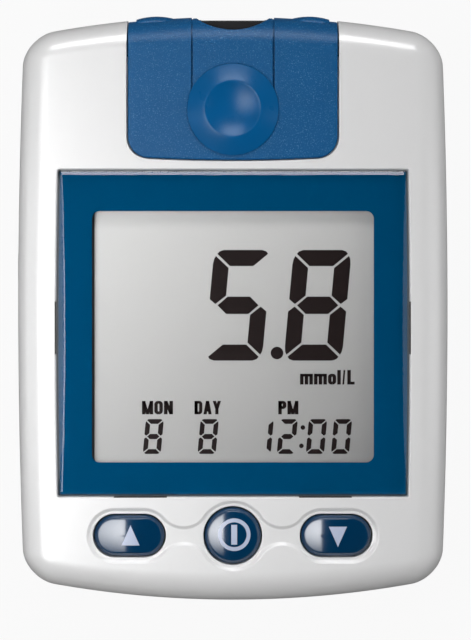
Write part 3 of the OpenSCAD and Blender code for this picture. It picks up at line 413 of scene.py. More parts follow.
def material(name, colour, roughness, tint, tint_size, grain=0, grain_size=0.1, fleck=None, **sockets):
    """A finish with a soft mottle in its colour and gloss, a fine grain as bump, and pale flecks if a colour
    is given for them. Sizes are in millimetres."""
    mat, tree, shader = new_material(name)
    coords = add(tree, "TexCoord")
    mottle = add(tree, "TexNoise", {"Scale": 1 / (tint_size * MM), "Detail": 4})
    tinted = add(tree, "Mix", {"A": [c * (1 - tint) for c in colour] + [1],
                               "B": [min(c * (1 + tint), 1) for c in colour] + [1]}, data_type="RGBA")
    gloss = add(tree, "MapRange", {"To Min": roughness * (1 - GLOSS_SPREAD),
                                   "To Max": roughness * (1 + GLOSS_SPREAD)})
    wire(tree, (coords, "Object", mottle, "Vector"), (mottle, "Fac", tinted, "Factor"),
         (tinted, "Result", shader, "Base Color"), (mottle, "Fac", gloss, "Value"),
         (gloss, "Result", shader, "Roughness"))
    if grain:
        fine = add(tree, "TexNoise", {"Scale": 1 / (grain_size * MM), "Detail": 2})
        bump = add(tree, "Bump", {"Strength": 1, "Distance": grain * MM})
        wire(tree, (coords, "Object", fine, "Vector"), (fine, "Fac", bump, "Height"),
             (bump, "Normal", shader, "Normal"))
        if fleck:
            peaks = add(tree, "MapRange", {"From Min": FLECK_FROM, "From Max": FLECK_FULL})
            flecked = add(tree, "Mix", {"B": (*fleck, 1)}, data_type="RGBA")
            wire(tree, (fine, "Fac", peaks, "Value"), (peaks, "Result", flecked, "Factor"),
                 (tinted, "Result", flecked, "A"), (flecked, "Result", shader, "Base Color"))
    for socket, value in sockets.items():
        shader.inputs[socket.replace("_", " ")].default_value = value
    return mat


def clear_material(name, roughness, ior):
    """Clear hard-coated plastic: what lies behind shows, with a gloss on its outer side."""
    mat, tree, shader = new_material(name)
    tree.nodes.remove(shader)
    see_through = add(tree, "BsdfTransparent")
    gloss = add(tree, "BsdfGlossy", {"Roughness": roughness})
    fresnel = add(tree, "Fresnel", {"IOR": ior})
    side = add(tree, "NewGeometry")
    path = add(tree, "LightPath")
    clear = add(tree, "Math", operation="MAXIMUM")
    share = add(tree, "Mix", {"B": 0})
    mix = add(tree, "MixShader")
    wire(tree, (side, "Backfacing", clear, 0), (path, "Is Shadow Ray", clear, 1),
         (clear, "Value", share, "Factor"), (fresnel, "Fac", share, "A"), (share, "Result", mix, "Fac"),
         (see_through, "BSDF", mix, 1), (gloss, "BSDF", mix, 2),
         (mix, "Shader", tree.nodes["Material Output"], "Surface"))
    return mat


PEARL = material("pearl_paint", (0.84, 0.84, 0.845), 0.32, tint=0.012, tint_size=6, grain=0.0012,
                 grain_size=0.12, Coat_Weight=0.35, Coat_Roughness=0.12)
COVER_BLUE = material("spark_blue", (0.004, 0.095, 0.265), 0.32, tint=0.07, tint_size=4, grain=0.036,
                      grain_size=0.17, fleck=(0.09, 0.28, 0.52), Specular_IOR_Level=0.12)
PAD_BLUE = material("satin_blue", (0.001, 0.103, 0.295), 0.28, tint=0.03, tint_size=3, grain=0.006,
                    grain_size=0.14, Specular_IOR_Level=0.13)
KEY_NAVY = material("key_navy", (0.0, 0.036, 0.1), 0.13, tint=0.05, tint_size=2, Coat_Weight=0.5,
                    Coat_Roughness=0.07)
PRINT_BLUE = material("print_blue", (0.0, 0.072, 0.18), 0.35, tint=0.03, tint_size=5, Specular_IOR_Level=0)
# A dark tone that is painted along the lens's edge as its shade.
LENS_EDGE_SHADE = material("lens_edge_shade", (0.03, 0.055, 0.075), 0.5, tint=0.1, tint_size=1, Specular_IOR_Level=0.1)
SYMBOL = material("pale_print", (0.5, 0.56, 0.72), 0.35, tint=0.03, tint_size=1)
SEGMENT = material("segment", (0.017, 0.011, 0.011), 0.35, tint=0.05, tint_size=1, Specular_IOR_Level=0.05)
BLACK = material("black_plastic", (0.009, 0.009, 0.01), 0.4, tint=0.1, tint_size=1.5, grain=0.003,
                 grain_size=0.1, Specular_IOR_Level=0.15)
RUBBER = material("black_rubber", (0.02, 0.02, 0.02), 0.7, tint=0.1, tint_size=1)
STEEL = material("steel", (0.6, 0.6, 0.61), 0.25, tint=0.06, tint_size=0.6, Metallic=1)
BRASS = material("brass", (0.75, 0.6, 0.3), 0.25, tint=0.06, tint_size=0.6, Metallic=1)
BOARD = material("board_green", (0.02, 0.12, 0.05), 0.35, tint=0.15, tint_size=1.2)
TAN = material("ceramic_tan", (0.45, 0.32, 0.18), 0.4, tint=0.1, tint_size=0.5)
WHITE = material("holder_white", (0.75, 0.75, 0.73), 0.45, tint=0.03, tint_size=2)
CELL = material("cell_wrap", (0.05, 0.06, 0.075), 0.25, tint=0.1, tint_size=5)
CLEAR = clear_material("clear_lens", 0.03, 1.45)


# Painted light and shade on the display glass: its colour is palest at its upper left and falls across and
# down, as if lit from the upper left.
LCD_PAINTED_LIGHT_PALEST = 0.85
LCD_PAINTED_SHADE_ACROSS = 0.235
LCD_PAINTED_SHADE_DOWN = 0.27


def painted_light_lcd_material():
    """Display glass with painted light: its colour is palest at its upper left and darker to the right and
    down.
    """
    mat = material("lcd_grey", (0.99, 0.99, 0.98), 0.5, tint=0.01, tint_size=1, Specular_IOR_Level=0.1)
    tree = mat.node_tree
    shader = tree.nodes["Principled BSDF"]
    tinted = shader.inputs["Base Color"].links[0].from_node
    coords = add(tree, "TexCoord")
    place = add(tree, "Mapping", {"Location": (0.5, 0.5 - WINDOW_Y / WINDOW_L, 0),
                                  "Scale": (1 / (WINDOW_W * MM), 1 / (WINDOW_L * MM), 1)})
    fall = add(tree, "VectorMath", {1: (-LCD_PAINTED_SHADE_ACROSS, LCD_PAINTED_SHADE_DOWN, 0)}, operation="DOT_PRODUCT")
    shade = add(tree, "Math", {1: LCD_PAINTED_LIGHT_PALEST - LCD_PAINTED_SHADE_DOWN})
    multiply = add(tree, "Mix", {"Factor": 1}, data_type="RGBA", blend_type="MULTIPLY")
    wire(tree, (coords, "Object", place, "Vector"), (place, "Vector", fall, 0), (fall, "Value", shade, 0),
         (tinted, "Result", multiply, "A"), (shade, "Value", multiply, "B"),
         (multiply, "Result", shader, "Base Color"))
    return mat


LCD = painted_light_lcd_material()


# ---- case
def make_front_case():
    case = block("case_front", 0, SEAM_Z, FACE_Z, SEAM_EDGE, FACE_EDGE_R, steps=18)
    hollow = block("hollow", WALL, SEAM_Z - 1, FACE_Z - WALL, 0, FACE_EDGE_R - WALL)
    cut(hollow, box("ledge", 0, LENS_Y, LEDGE_Z, LENS_W + 2, LENS_L + 2, TALL))
    pocket_edge = [(0.04, -0.16), (0.09, -0.1), (0.22, 0), (0.34, 0.1)]
    pocket = prism("pocket", lens_outline, [(pocket_edge[0][0], POCKET_Z)] + over(FACE_Z, pocket_edge))
    slots = lens_slots("slot", LENS_W / 2, LENS_L / 2, POCKET_Z, 2 * SLOT_REACH, SLOT_L, 4)
    wider = 0.8
    sight = lambda m: rounded_outline(0, WINDOW_Y, WINDOW_W + wider, WINDOW_L + wider, WINDOW_R)
    window = prism("window", sight, [(0, LEDGE_Z - 1), (0, LEDGE_Z + 3)])
    wall_steps, wall_run = 8, 0.66
    slope = [(math.cos(math.pi * k / wall_steps) / -2 + 0.5, k / wall_steps) for k in range(wall_steps + 1)]
    wall = [(wall_run * run - wall_run / 2, FACE_Z - RECESS_DEPTH * (1 - rise)) for rise, run in slope]
    recess = prism("recess", recess_outline, wall + [(0.5, FACE_Z + 0.2)])
    floor_z = FACE_Z - RECESS_DEPTH
    hole_edge = [(0, -0.16), (0.05, -0.05), (0.16, 0), (0.26, 1)]
    holes = [prism("hole", lambda m, x=x, w=w, l=l: oval_outline(x, KEY_Y, w + 2 * m, l + 2 * m),
                   [(0, FACE_Z - 4)] + over(floor_z, hole_edge))
             for x, w, l in ((-KEY_X, KEY_W, KEY_L), (KEY_X, KEY_W, KEY_L), (0, POWER_D, POWER_D))]
    notch_edge = [(COVER_GAP, -0.15), (COVER_GAP + 0.04, -0.06), (COVER_GAP + 0.15, 0)]
    notch = prism("notch", cover_outline,
                  [(COVER_GAP, COVER_UNDER)] + over(FACE_Z, notch_edge) + [(notch_edge[-1][0], TALL)])
    opening = prism("opening", cover_outline, [(-COVER_LEDGE, SEAM_Z - 1), (-COVER_LEDGE, TALL)])
    skirt_l = 2 * (FACE_EDGE_R + COVER_T + 0.4)
    skirt = box("skirt", 0, BODY_L / 2, SEAM_Z - 1, COVER_W + 2 * COVER_GAP, skirt_l, TALL)
    side_hole = side_oval("side_hole", BUTTON_L + 2 * BUTTON_GAP, BUTTON_H + 2 * BUTTON_GAP,
                          [(-BODY_W / 2 - 5, 0), (-BODY_W / 2 + 5, 0)])
    cut(case, hollow, pocket, window, recess, notch, opening, skirt, side_hole, *slots, *holes)
    dress(case, "housing", "case_white", PEARL, "front_case")


def lens_slots(name, to_side, to_end, low_z, w, l, h):
    """Upright blocks along the lens: one at each side and two at its lower end."""
    return ([box(name, side * to_side, SLOT_Y, low_z, w, l, h) for side in (-1, 1)]
            + [box(name, side * SLOT_X, LENS_Y - to_end, low_z, l, w, h) for side in (-1, 1)])


def side_oval(name, l, h, profile):
    """An oval round the side button's axis, drawn along X; profile lists (x, inset)."""
    y, z = middle("set_button", Y), middle("set_button", Z)
    return rings(name, [[(x, py, pz) for py, pz in oval_outline(y, z, l - 2 * inset, h - 2 * inset)]
                        for x, inset in profile])


# ---- strip end
def skin(name, low_z, drop=0.0):
    """The curved skin that the cover and the tongue are cut from, or a layer that lies lower by drop."""
    outer = block(name, COVER_INSET + drop / 10, low_z, COVER_TOP - drop, 0, FACE_EDGE_R - drop, steps=18)
    inner = block("inner", COVER_INSET + COVER_T - drop / 10, low_z - 1, COVER_UNDER + drop / 10, 0,
                  FACE_EDGE_R - COVER_T)
    return cut(outer, inner)


def edge_profile(radius, low_z, high_z):
    """Upright sides whose upper edge is rounded."""
    steps, nudge = 4, 0.001
    turns = [math.radians(90 * k / steps) for k in range(steps + 1)]
    edge = [(-radius * (1 - math.cos(a)), high_z - radius * (1 - math.sin(a)) + nudge) for a in turns]
    return [(0, low_z)] + edge + [(-radius, high_z + 2)]


def make_cover():
    cover = skin("port_cover_shell", SEAM_Z)
    overlap_of(cover, prism("plan", cover_outline, edge_profile(0.3, SEAM_Z - 1, COVER_TOP)))
    join(cover, *[end_lobe(side * LOBE_X) for side in (-1, 1)])
    slot_z = high("main_board", Z) - 0.3
    slot = box("slot", 0, TONGUE_Y - SEAM_GAP + TALL / 2, slot_z, TONGUE_W + 2 * SEAM_GAP, TALL, TALL)
    guide_w, guide_l = 9.5, 10
    guide = box("guide", 0, PORT_FRONT + guide_l / 2, SEAM_Z - 1, guide_w, guide_l, TALL)
    cut(cover, slot, guide)
    dress(cover, "housing", "cover_blue", COVER_BLUE, "port_cover")


def end_lobe(x):
    """A soft upright lobe on the cover's end."""
    end_y = BODY_L / 2 - COVER_INSET - bow(x, END_ARC_R)
    r = (LOBE_W * LOBE_W / 4 + LOBE_RISE * LOBE_RISE) / (2 * LOBE_RISE)
    crown, rise, run = COVER_TOP - FACE_EDGE_R, 2.4, 1.2
    turns = [math.radians(15 * k) for k in range(1, 7)]
    profile = [(0, SEAM_Z + 1), (0, crown)]
    profile += [(-run * (1 - math.cos(a)), crown + rise * math.sin(a)) for a in turns]
    lobe = prism("lobe", lambda m: circle(x, end_y + LOBE_RISE - r, r + m, 120), profile)
    return overlap_of(lobe, box("lobe_box", x, end_y, SEAM_Z + 0.5, LOBE_W, 2 * COVER_T - 0.4, TALL))


def make_tongue():
    tongue = skin("eject_tongue", SEAM_Z)
    outline = lambda m: [(TONGUE_W / 2 + m, BODY_L), (-TONGUE_W / 2 - m, BODY_L),
                         (-TONGUE_W / 2 - m, TONGUE_Y - m), (TONGUE_W / 2 + m, TONGUE_Y - m)]
    overlap_of(tongue, prism("plan", outline, edge_profile(0.12, TONGUE_UNDER, COVER_TOP)))
    rails = skin("rails", SEAM_Z, RAIL_DROP)
    rails_w = TONGUE_W + 2 * SEAM_GAP - 0.02
    overlap_of(rails, box("rail_plan", 0, TONGUE_Y + 0.1 + BODY_L / 2, TONGUE_UNDER, rails_w, BODY_L, TALL))
    flange_end, flange_z, flange_t = 34, COVER_UNDER - 0.9, 1.2
    flange_y, flange_l = (TONGUE_Y + flange_end) / 2, flange_end - TONGUE_Y
    flange = box("flange", 0, flange_y, flange_z, TONGUE_W, flange_l, flange_t)
    join(tongue, rails, flange)
    taper = 0.43
    scoop = prism("scoop", lambda m: circle(0, SCOOP_Y + SCOOP_R, SCOOP_R + m, 180),
                  [(-taper, SEAM_Z - 1), (-taper, TONGUE_UNDER), (0, COVER_TOP - 0.5), (0.1, COVER_TOP + 1)])
    cut(tongue, scoop)
    dress(tongue, "ejector", "cover_blue", COVER_BLUE, "ejector_slider")


def make_pad():
    """A round pad whose flank rises to a crest round a dish."""
    under, foot, toe, crest = 0.002, 0.15, 0.12, 0.12
    flank_curve = 1.15
    flank_steps, dish_steps = 20, 24
    dish_sphere = (DISH_R ** 2 + DISH_DEPTH ** 2) / (2 * DISH_DEPTH)
    flank_top = PAD_TOP - 0.01
    crest_r = DISH_R + crest
    profile = [(0, COVER_TOP + under), (PAD_R - 0.45, COVER_TOP + under),
               (PAD_R - toe, COVER_TOP + foot - 0.06), (PAD_R, COVER_TOP + foot + 0.04)]
    for k in range(flank_steps + 1):
        t = 1 - k / flank_steps
        r = crest_r + (PAD_R - 0.02 - crest_r) * t
        profile.append((r, flank_top - (flank_top - COVER_TOP - foot - toe) * t ** flank_curve))
    profile += [(DISH_R + 0.08, PAD_TOP), (DISH_R + 0.03, PAD_TOP - 0.005)]
    for k in range(dish_steps + 1):
        r = (DISH_R - 0.03) * (1 - k / dish_steps)
        profile.append((r, PAD_TOP - DISH_DEPTH + dish_sphere - math.sqrt(dish_sphere ** 2 - r * r)))
    pad = lathe("thumb_pad", 0, PAD_Y, profile)
    dress(pad, "ejector", "pad_blue", PAD_BLUE, "ejector_pad", sharp=60)


def make_strip_port():
    """The black block behind the scoop, with its flared slot."""
    base, top, back, front = low("strip_port", Z), high("strip_port", Z), low("strip_port", Y), PORT_FRONT
    w, l, mid_y = span("strip_port", X), front - back, (front + back) / 2
    inset, edge = 0.25, 0.08
    slot_w, slot_h, flare, slot_drop = 7.2, 0.9, 0.5, 0.2
    slot_z = base + (top - base - slot_h) / 2 - slot_drop
    sides = lambda m: rounded_outline(0, mid_y, w + 2 * m, l + 2 * m, 0.4)
    port = prism("strip_port_block", sides, [(0, base), (0, top - inset), (-edge, top - edge), (-inset, top)])

    def mouth(grow):
        half_w, upper, lower = slot_w / 2 + grow, slot_z + slot_h + grow / 2, slot_z - grow / 2
        return [(half_w, upper), (-half_w, upper), (-half_w, lower), (half_w, lower)]

    places = [(back - 1, 0), (front - 1, 0), (front + 0.1, flare)]
    cut(port, rings("slot", [[(x, y, z) for x, z in mouth(grow)] for y, grow in places]))
    dress(port, "housing", "black_plastic", BLACK, "strip_port")


# ---- display
def make_lens():
    """A clear plate with bevelled ends, and with bowed side bevels that meet its flat top in soft creases."""
    rows, columns, crease_steps = 120, 6, 8
    crease, step, spare = 0.28, 0.06, 0.2
    end = LENS_L / 2
    under = LENS_Z + LENS_GAP
    ys = [-end - spare, -end, -end + LENS_END_BEVEL / 2]
    ys += [p[0] for p in between((-end + LENS_END_BEVEL - step,), (end - LENS_END_BEVEL + step,), rows)]
    ys += [end - LENS_END_BEVEL / 2, end, end + spare]
    layers = []
    for y in ys:
        inside = min(max(y, -end), end)
        slope = min((end - abs(inside)) / LENS_END_BEVEL, 1)
        rise = lens_rise(inside) * slope
        side = lens_side(inside, 0)
        flat = side - lens_rise(inside) / math.tan(LENS_BEVEL)
        tilt = rise / (side - flat)
        half = [(side + spare, LENS_EDGE_TOP), (side, LENS_EDGE_TOP)]
        for k in range(crease_steps + 1):
            t = k / crease_steps
            x = flat + crease * ((1 - t) ** 2 - t * t)
            half.append((x, LENS_EDGE_TOP + rise - tilt * crease * (1 - t) ** 2))
        across = [(flat * (1 - 2 * k / columns), LENS_EDGE_TOP + rise) for k in range(1, columns)]
        top = half + across + [(-x, z) for x, z in reversed(half)]
        section = [(x, LENS_Y + y, z) for x, z in reversed(top)]
        layers.append(section + [(side + spare, LENS_Y + y, under), (-side - spare, LENS_Y + y, under)])
    lens = rings("display_window", layers)
    overlap_of(lens, prism("plan", lens_outline, [(0, LENS_Z - 1), (0, FACE_Z + 3)]))
    dress(lens, "housing", "lens_clear", CLEAR, "display_lens", sharp=12)


def make_print():
    """The blue border with a dark rim painted along the lens's edge as its shade, and black pieces in the
    slots along the lens as painted shadow.
    """
    edge = 0.28
    border = prism("border_print", lens_outline, [(-edge, POCKET_Z), (-edge, LENS_Z)])
    window = lambda m: rounded_outline(0, WINDOW_Y, WINDOW_W, WINDOW_L, WINDOW_R)
    cut(border, prism("window", window, [(0, POCKET_Z - 1), (0, LENS_Z + 1)]))
    dress(border, "housing", "print_blue", PRINT_BLUE, "lens_print")
    # The dark rim is painted shade along the lens's edge.
    rim = prism("border_rim", lens_outline, [(0, POCKET_Z), (0, LENS_Z)])
    cut(rim, prism("inner", lens_outline, [(-edge, POCKET_Z - 1), (-edge, LENS_Z + 1)]))
    dress(rim, "housing", "print_blue", LENS_EDGE_SHADE)
    # Black pieces in the lens's slots: painted shadow in the slots, not parts of the meter.
    tab_w, tab_at, tab_h = SLOT_REACH - 0.04, SLOT_REACH / 2 + 0.01, FACE_Z - 0.2 - POCKET_Z
    painted_slot_shadows = lens_slots("slot_shadow", LENS_W / 2 + tab_at, LENS_L / 2 + tab_at, POCKET_Z, tab_w, SLOT_L - 0.06, tab_h)
    dress(join(*painted_slot_shadows), "housing", "black_rubber", RUBBER)


def make_gasket():
    """The rubber frame on the display glass. Its opening is shifted to the right, so it shows as a thin black
    line at the window's left side, a painted shadow of that edge.
    """
    base, top = low("lcd_gasket", Z), high("lcd_gasket", Z)
    w, l, line, spare = span("lcd_gasket", X), span("lcd_gasket", Y), 0.26, 0.5
    frame_outline = lambda m: rounded_outline(0, WINDOW_Y, w, l, 0.5)
    gasket = prism("display_gasket", frame_outline, [(0, base), (0, top)])
    # The opening is shifted to the right so that the black frame shows only at the left: a painted shadow.
    opening = lambda m: rounded_outline((spare + line) / 2, WINDOW_Y, WINDOW_W + spare - line,
                                        WINDOW_L + 2 * spare, WINDOW_R)
    cut(gasket, prism("opening", opening, [(0, base - 1), (0, top + 1)]))
    dress(gasket, "housing", "black_rubber", RUBBER, "lcd_gasket")


# ---- keys
def make_key(name, body, node, x, w, l, mark):
    """A domed key with a bevelled rim."""
    w, l = w - 2 * KEY_GAP, l - 2 * KEY_GAP
    rim, rim_drop, crease = 0.5, 0.42, 0.06
    foot = low(node, Z)
    ring = lambda inset: oval_outline(x, KEY_Y, w - 2 * inset, l - 2 * inset)
    dome = lambda px, py: KEY_TOP - bow(math.hypot(px - x, py - KEY_Y), KEY_DOME_R)
    # The rim's section: how far in from the side, and how far under the dome.
    rim_profile = [(0, rim_drop + 0.12), (0.02, rim_drop + 0.04), (0.07, rim_drop - 0.03),
                   (rim - crease, crease), (rim - crease / 3, crease / 4), (rim + crease / 2, 0)]
    layers = [[(px, py, foot) for px, py in ring(0)]]
    layers += [[(px, py, dome(px, py) - drop) for px, py in ring(inset)] for inset, drop in rim_profile]
    shrinks, core = 12, 0.01
    for k in range(1, shrinks + 1):
        inset = rim + (l / 2 - rim - core) * k / shrinks
        layers.append([(px, py, dome(px, py)) for px, py in ring(inset)])
    key = rings(name, layers)
    dress(key, body, "key_navy", KEY_NAVY, node, sharp=50)
    marks = new_object(name + "_symbol", *mark(x + SYMBOL_SHIFT))
    for v in marks.data.vertices:
        v.co.z += dome(v.co.x / MM, v.co.y / MM) * MM
    dress(marks, body, "key_navy", SYMBOL)


def slab(outline):
    """Points and faces of a thin flat plate."""
    n = len(outline)
    points = [(x, y, z) for z in (-PLATE_T, PLATE_T) for x, y in outline]
    faces = [list(range(n - 1, -1, -1)), list(range(n, 2 * n))]
    return points, faces + ring_walls(2, n)


def ring_slab(outline, hole):
    """Points and faces of a thin flat ring between two outlines of equal counts."""
    n = len(outline)
    levels = ((hole, -PLATE_T), (outline, -PLATE_T), (outline, PLATE_T), (hole, PLATE_T))
    points = [(x, y, z) for ring, z in levels for x, y in ring]
    faces = [[a * n + j, a * n + (j + 1) % n, b * n + (j + 1) % n, b * n + j]
             for a, b in ((0, 1), (1, 2), (2, 3), (3, 0)) for j in range(n)]
    return points, faces


def plate(outline):
    """A thin flat plate whose outline may run either way round."""
    area = sum(a[0] * b[1] - a[1] * b[0] for a, b in zip(outline, outline[1:] + outline[:1]))
    return slab(outline if area > 0 else outline[::-1])


def merged(*parts):
    points, faces = [], []
    for part_points, part_faces in parts:
        faces += [[i + len(points) for i in face] for face in part_faces]
        points += part_points
    return points, faces


def triangle(direction):
    """A triangle that points up or down, cut into narrow pieces so that it follows the dome."""
    def mark(x):
        half, height, base_drop, tip = 1.33, 2.95, 1.38, 0.02
        strips, columns = 8, 4
        base_y = KEY_Y - direction * base_drop
        parts = []
        for k in range(strips):
            a, b = k / strips, (k + 1) / strips
            wa, wb = half * (1 - a), max(half * (1 - b), tip)
            ya, yb = base_y + direction * height * a, base_y + direction * height * b
            for left in (2 * j / columns - 1 for j in range(columns)):
                right = left + 2 / columns
                parts.append(plate([(x + wa * left, ya), (x + wa * right, ya), (x + wb * right, yb),
                                    (x + wb * left, yb)]))
        return merged(*parts)
    return mark


def power_mark(x):
    """A ring with an upright bar, which is cut into strips so that it follows the dome."""
    outer, inner, bar_w, bar_l = 2.39, 1.82, 0.86, 2.9
    steps, strips = 64, 8
    y = KEY_Y + SYMBOL_SHIFT
    left, right = x - bar_w / 2, x + bar_w / 2
    bar = []
    for k in range(strips):
        low_y, high_y = (bar_l * (j / strips - 0.5) + y for j in (k, k + 1))
        bar.append(slab([(left, low_y), (right, low_y), (right, high_y), (left, high_y)]))
    return merged(ring_slab(circle(x, y, outer, steps), circle(x, y, inner, steps)), *bar)


def make_set_button():
    tip, edge, steps, root = low("set_button", X), 0.5, 8, 2
    turns = [math.radians(90 * k / steps) for k in range(steps + 1)]
    profile = [(tip + edge * (1 - math.cos(a)), edge * (1 - math.sin(a))) for a in turns]
    button = side_oval("side_button", BUTTON_L, BUTTON_H, profile + [(high("set_button", X) - root, 0)])
    dress(button, "set_button_body", "case_white", PEARL, "set_button", sharp=40)


# ---- display contents
SLANT = 0.0913


def display_place(px, py):
    """A point of the display glass that the camera sees at this place of the 471 by 640 picture."""
    scale = PIXEL * (CAMERA_H - (GLASS_TOP - CAMERA_PLANE)) / CAMERA_H
    return CAMERA_X + (px - PICTURE_W / 2) * scale, CAMERA_Y - (py - PICTURE_H / 2) * scale


def seven_segments(x, y, w, h, bar, segments, shrink):
    """One slanted digit as thin plates. x and y are its lower left corner before it slants.
    The shares in the outlines are of the bar's width."""
    mid = h / 2
    end_bar = [(0.22, -0.24), (0.34, -0.09), (0.6, 0)]
    top = [(u * bar, h + v * bar) for u, v in end_bar]
    top += [(w - px, py) for px, py in reversed(top)] + [(w - 1.07 * bar, h - bar), (1.07 * bar, h - bar)]
    side = [(0.14 * bar, h - 0.37 * bar), (bar, h - 1.12 * bar), (bar, mid + 0.6 * bar),
            (0.38 * bar, mid + 0.08 * bar), (0, mid + 0.38 * bar), (0, h - 0.88 * bar),
            (0.05 * bar, h - 0.55 * bar)]
    middle_bar = [(0.52 * bar, mid), (1.1 * bar, mid + 0.54 * bar), (w - 1.1 * bar, mid + 0.54 * bar),
                  (w - 0.52 * bar, mid), (w - 1.1 * bar, mid - 0.54 * bar), (1.1 * bar, mid - 0.54 * bar)]
    across = lambda shape: [(w - px, py) for px, py in shape]
    down = lambda shape: [(px, h - py) for px, py in shape]
    shapes = {"a": top, "b": across(side), "c": down(across(side)), "d": down(top), "e": down(side),
              "f": side, "g": middle_bar}
    parts = []
    for name in segments:
        shape = shapes[name]
        cx, cy = (sum(p[axis] for p in shape) / len(shape) for axis in (0, 1))
        shape = [(cx + (px - cx) * (1 - shrink), cy + (py - cy) * (1 - shrink)) for px, py in shape]
        parts.append(plate([(x + px + SLANT * py, y + py) for px, py in shape]))
    return merged(*parts)


DIGITS = {"0": "abcdef", "1": "bc", "2": "abged", "5": "afgcd", "8": "abcdefg"}


def digit_at(number, left, right, top, bottom, bar_px, shrink):
    """A digit whose slanted box fills this part of the picture."""
    (x0, y1), (x1, y0) = display_place(left, top), display_place(right, bottom)
    h = y1 - y0
    w = x1 - x0 - SLANT * h
    return seven_segments(x0, y0, w, h, bar_px * PIXEL, DIGITS[number], shrink)


def dot_at(px, py, radius_px):
    x, y = display_place(px, py)
    return slab(circle(x, y, radius_px * PIXEL, 24))


LETTER_WIDTHS = {"M": 1.3, "O": 1.0, "N": 1.05, "D": 1.0, "A": 1.05, "Y": 1.05, "P": 0.95, "m": 1.5,
                 "o": 0.95, "l": 0.36, "/": 0.55, "L": 0.85}
STEM = 0.41
LETTER_SPACE = 0.13


def letter(kind, x, y, w, h, stem):
    """One bold capital or small letter in plain strokes. Its proportions are shares of w, h and the stem."""
    bar, right, mid, top = 0.8 * stem, x + w, x + w / 2, y + h
    small_top = y + 0.74 * h
    first, last = x + stem / 2, right - stem / 2

    def stroke(a, b, half=stem / 2):
        return plate([(a[0] - half, a[1]), (a[0] + half, a[1]), (b[0] + half, b[1]), (b[0] - half, b[1])])

    def upright(px, high_y=top):
        return stroke((px, y), (px, high_y))

    def across(low_y):
        return plate([(x, low_y), (right, low_y), (right, low_y + bar), (x, low_y + bar)])

    def loop(low_y, high_y):
        cy, l = (low_y + high_y) / 2, high_y - low_y
        return ring_slab(rounded_outline(mid, cy, w, l, 0.42 * w),
                         rounded_outline(mid, cy, w - 2 * stem, l - 2 * bar, 0.1 * w))

    shapes = {
        "M": lambda: [upright(first), upright(last), stroke((mid, y), (first, top), 0.42 * stem),
                      stroke((mid, y), (last, top), 0.42 * stem)],
        "O": lambda: [loop(y, top)],
        "N": lambda: [upright(first), upright(last), stroke((last, y), (first, top))],
        "D": lambda: [upright(first), loop(y, top)],
        "A": lambda: [stroke((first, y), (mid, top)), stroke((last, y), (mid, top)),
                      stroke((mid, y + 0.2 * h), (mid, y + 0.34 * h), 0.32 * w)],
        "Y": lambda: [stroke((mid, y), (mid, y + 0.5 * h)), stroke((mid, y + 0.4 * h), (first, top)),
                      stroke((mid, y + 0.4 * h), (last, top))],
        "P": lambda: [upright(first), loop(y + 0.4 * h, top)],
        "m": lambda: [upright(px, small_top) for px in (first, mid, last)] + [across(small_top - bar)],
        "o": lambda: [loop(y, small_top)],
        "l": lambda: [upright(first)],
        "/": lambda: [stroke((first, y), (last, top), stem / 4)],
        "L": lambda: [upright(first), across(y)],
    }
    return merged(*shapes[kind]())


def legend_at(words, left, right, top, bottom):
    """A plain bold legend whose letters fill this part of the picture."""
    (x, y1), (x1, y0) = display_place(left, top), display_place(right, bottom)
    unit = (x1 - x) / (sum(LETTER_WIDTHS[c] + LETTER_SPACE for c in words) - LETTER_SPACE)
    parts = []
    for c in words:
        parts.append(letter(c, x, y0, LETTER_WIDTHS[c] * unit, y1 - y0, STEM * unit))
        x += (LETTER_WIDTHS[c] + LETTER_SPACE) * unit
    return merged(*parts)


# Places in the 471 by 640 picture: the upper and lower edges of each row, and the left and right edges of
# what stands in it. The dots have their centre and radius.
READING_ROW = (250, 360.6)
READING = [("5", 204.1, 272), ("8", 283.6, 351.8)]
READING_BAR = 16
CALENDAR_ROW = (419, 454)
CALENDAR = [("8", 142.6, 164), ("8", 197.3, 219), ("1", 253, 274), ("2", 276.6, 298), ("0", 305.6, 327.3),
            ("0", 330.8, 352.3)]
CALENDAR_BAR = 5
CALENDAR_SHRINK = 0.05
DOTS = [(277, 353, 6.3), (302.9, 427.5, 2.3), (301.4, 445.8, 2.3)]
LEGEND_ROW = (400.9, 414.3)
LEGENDS = [("MON", 142, 173), ("DAY", 194.5, 221), ("PM", 278.3, 298.4)]
UNIT_ROW = (370, 384.5)
UNIT = ("mmol/L", 300, 354.6)


def make_digits():
    parts = [digit_at(*spot, *READING_ROW, READING_BAR, 0) for spot in READING]
    parts += [digit_at(*spot, *CALENDAR_ROW, CALENDAR_BAR, CALENDAR_SHRINK) for spot in CALENDAR]
    parts += [dot_at(*dot) for dot in DOTS]
    parts += [legend_at(*legend, *LEGEND_ROW) for legend in LEGENDS]
    parts.append(legend_at(*UNIT, *UNIT_ROW))
    points, faces = merged(*parts)
    digits = new_object("display_digits", [(x, y, z + GLASS_TOP + PLATE_T) for x, y, z in points], faces)
    dress(digits, "housing", "lcd_grey", SEGMENT)


# ---- back
def round_posts(name, r, profile):
    """A round solid at each case screw."""
    return [prism(name, lambda m, x=x, y=y: circle(x, y, r + m, 48), profile) for x, y in SCREWS]


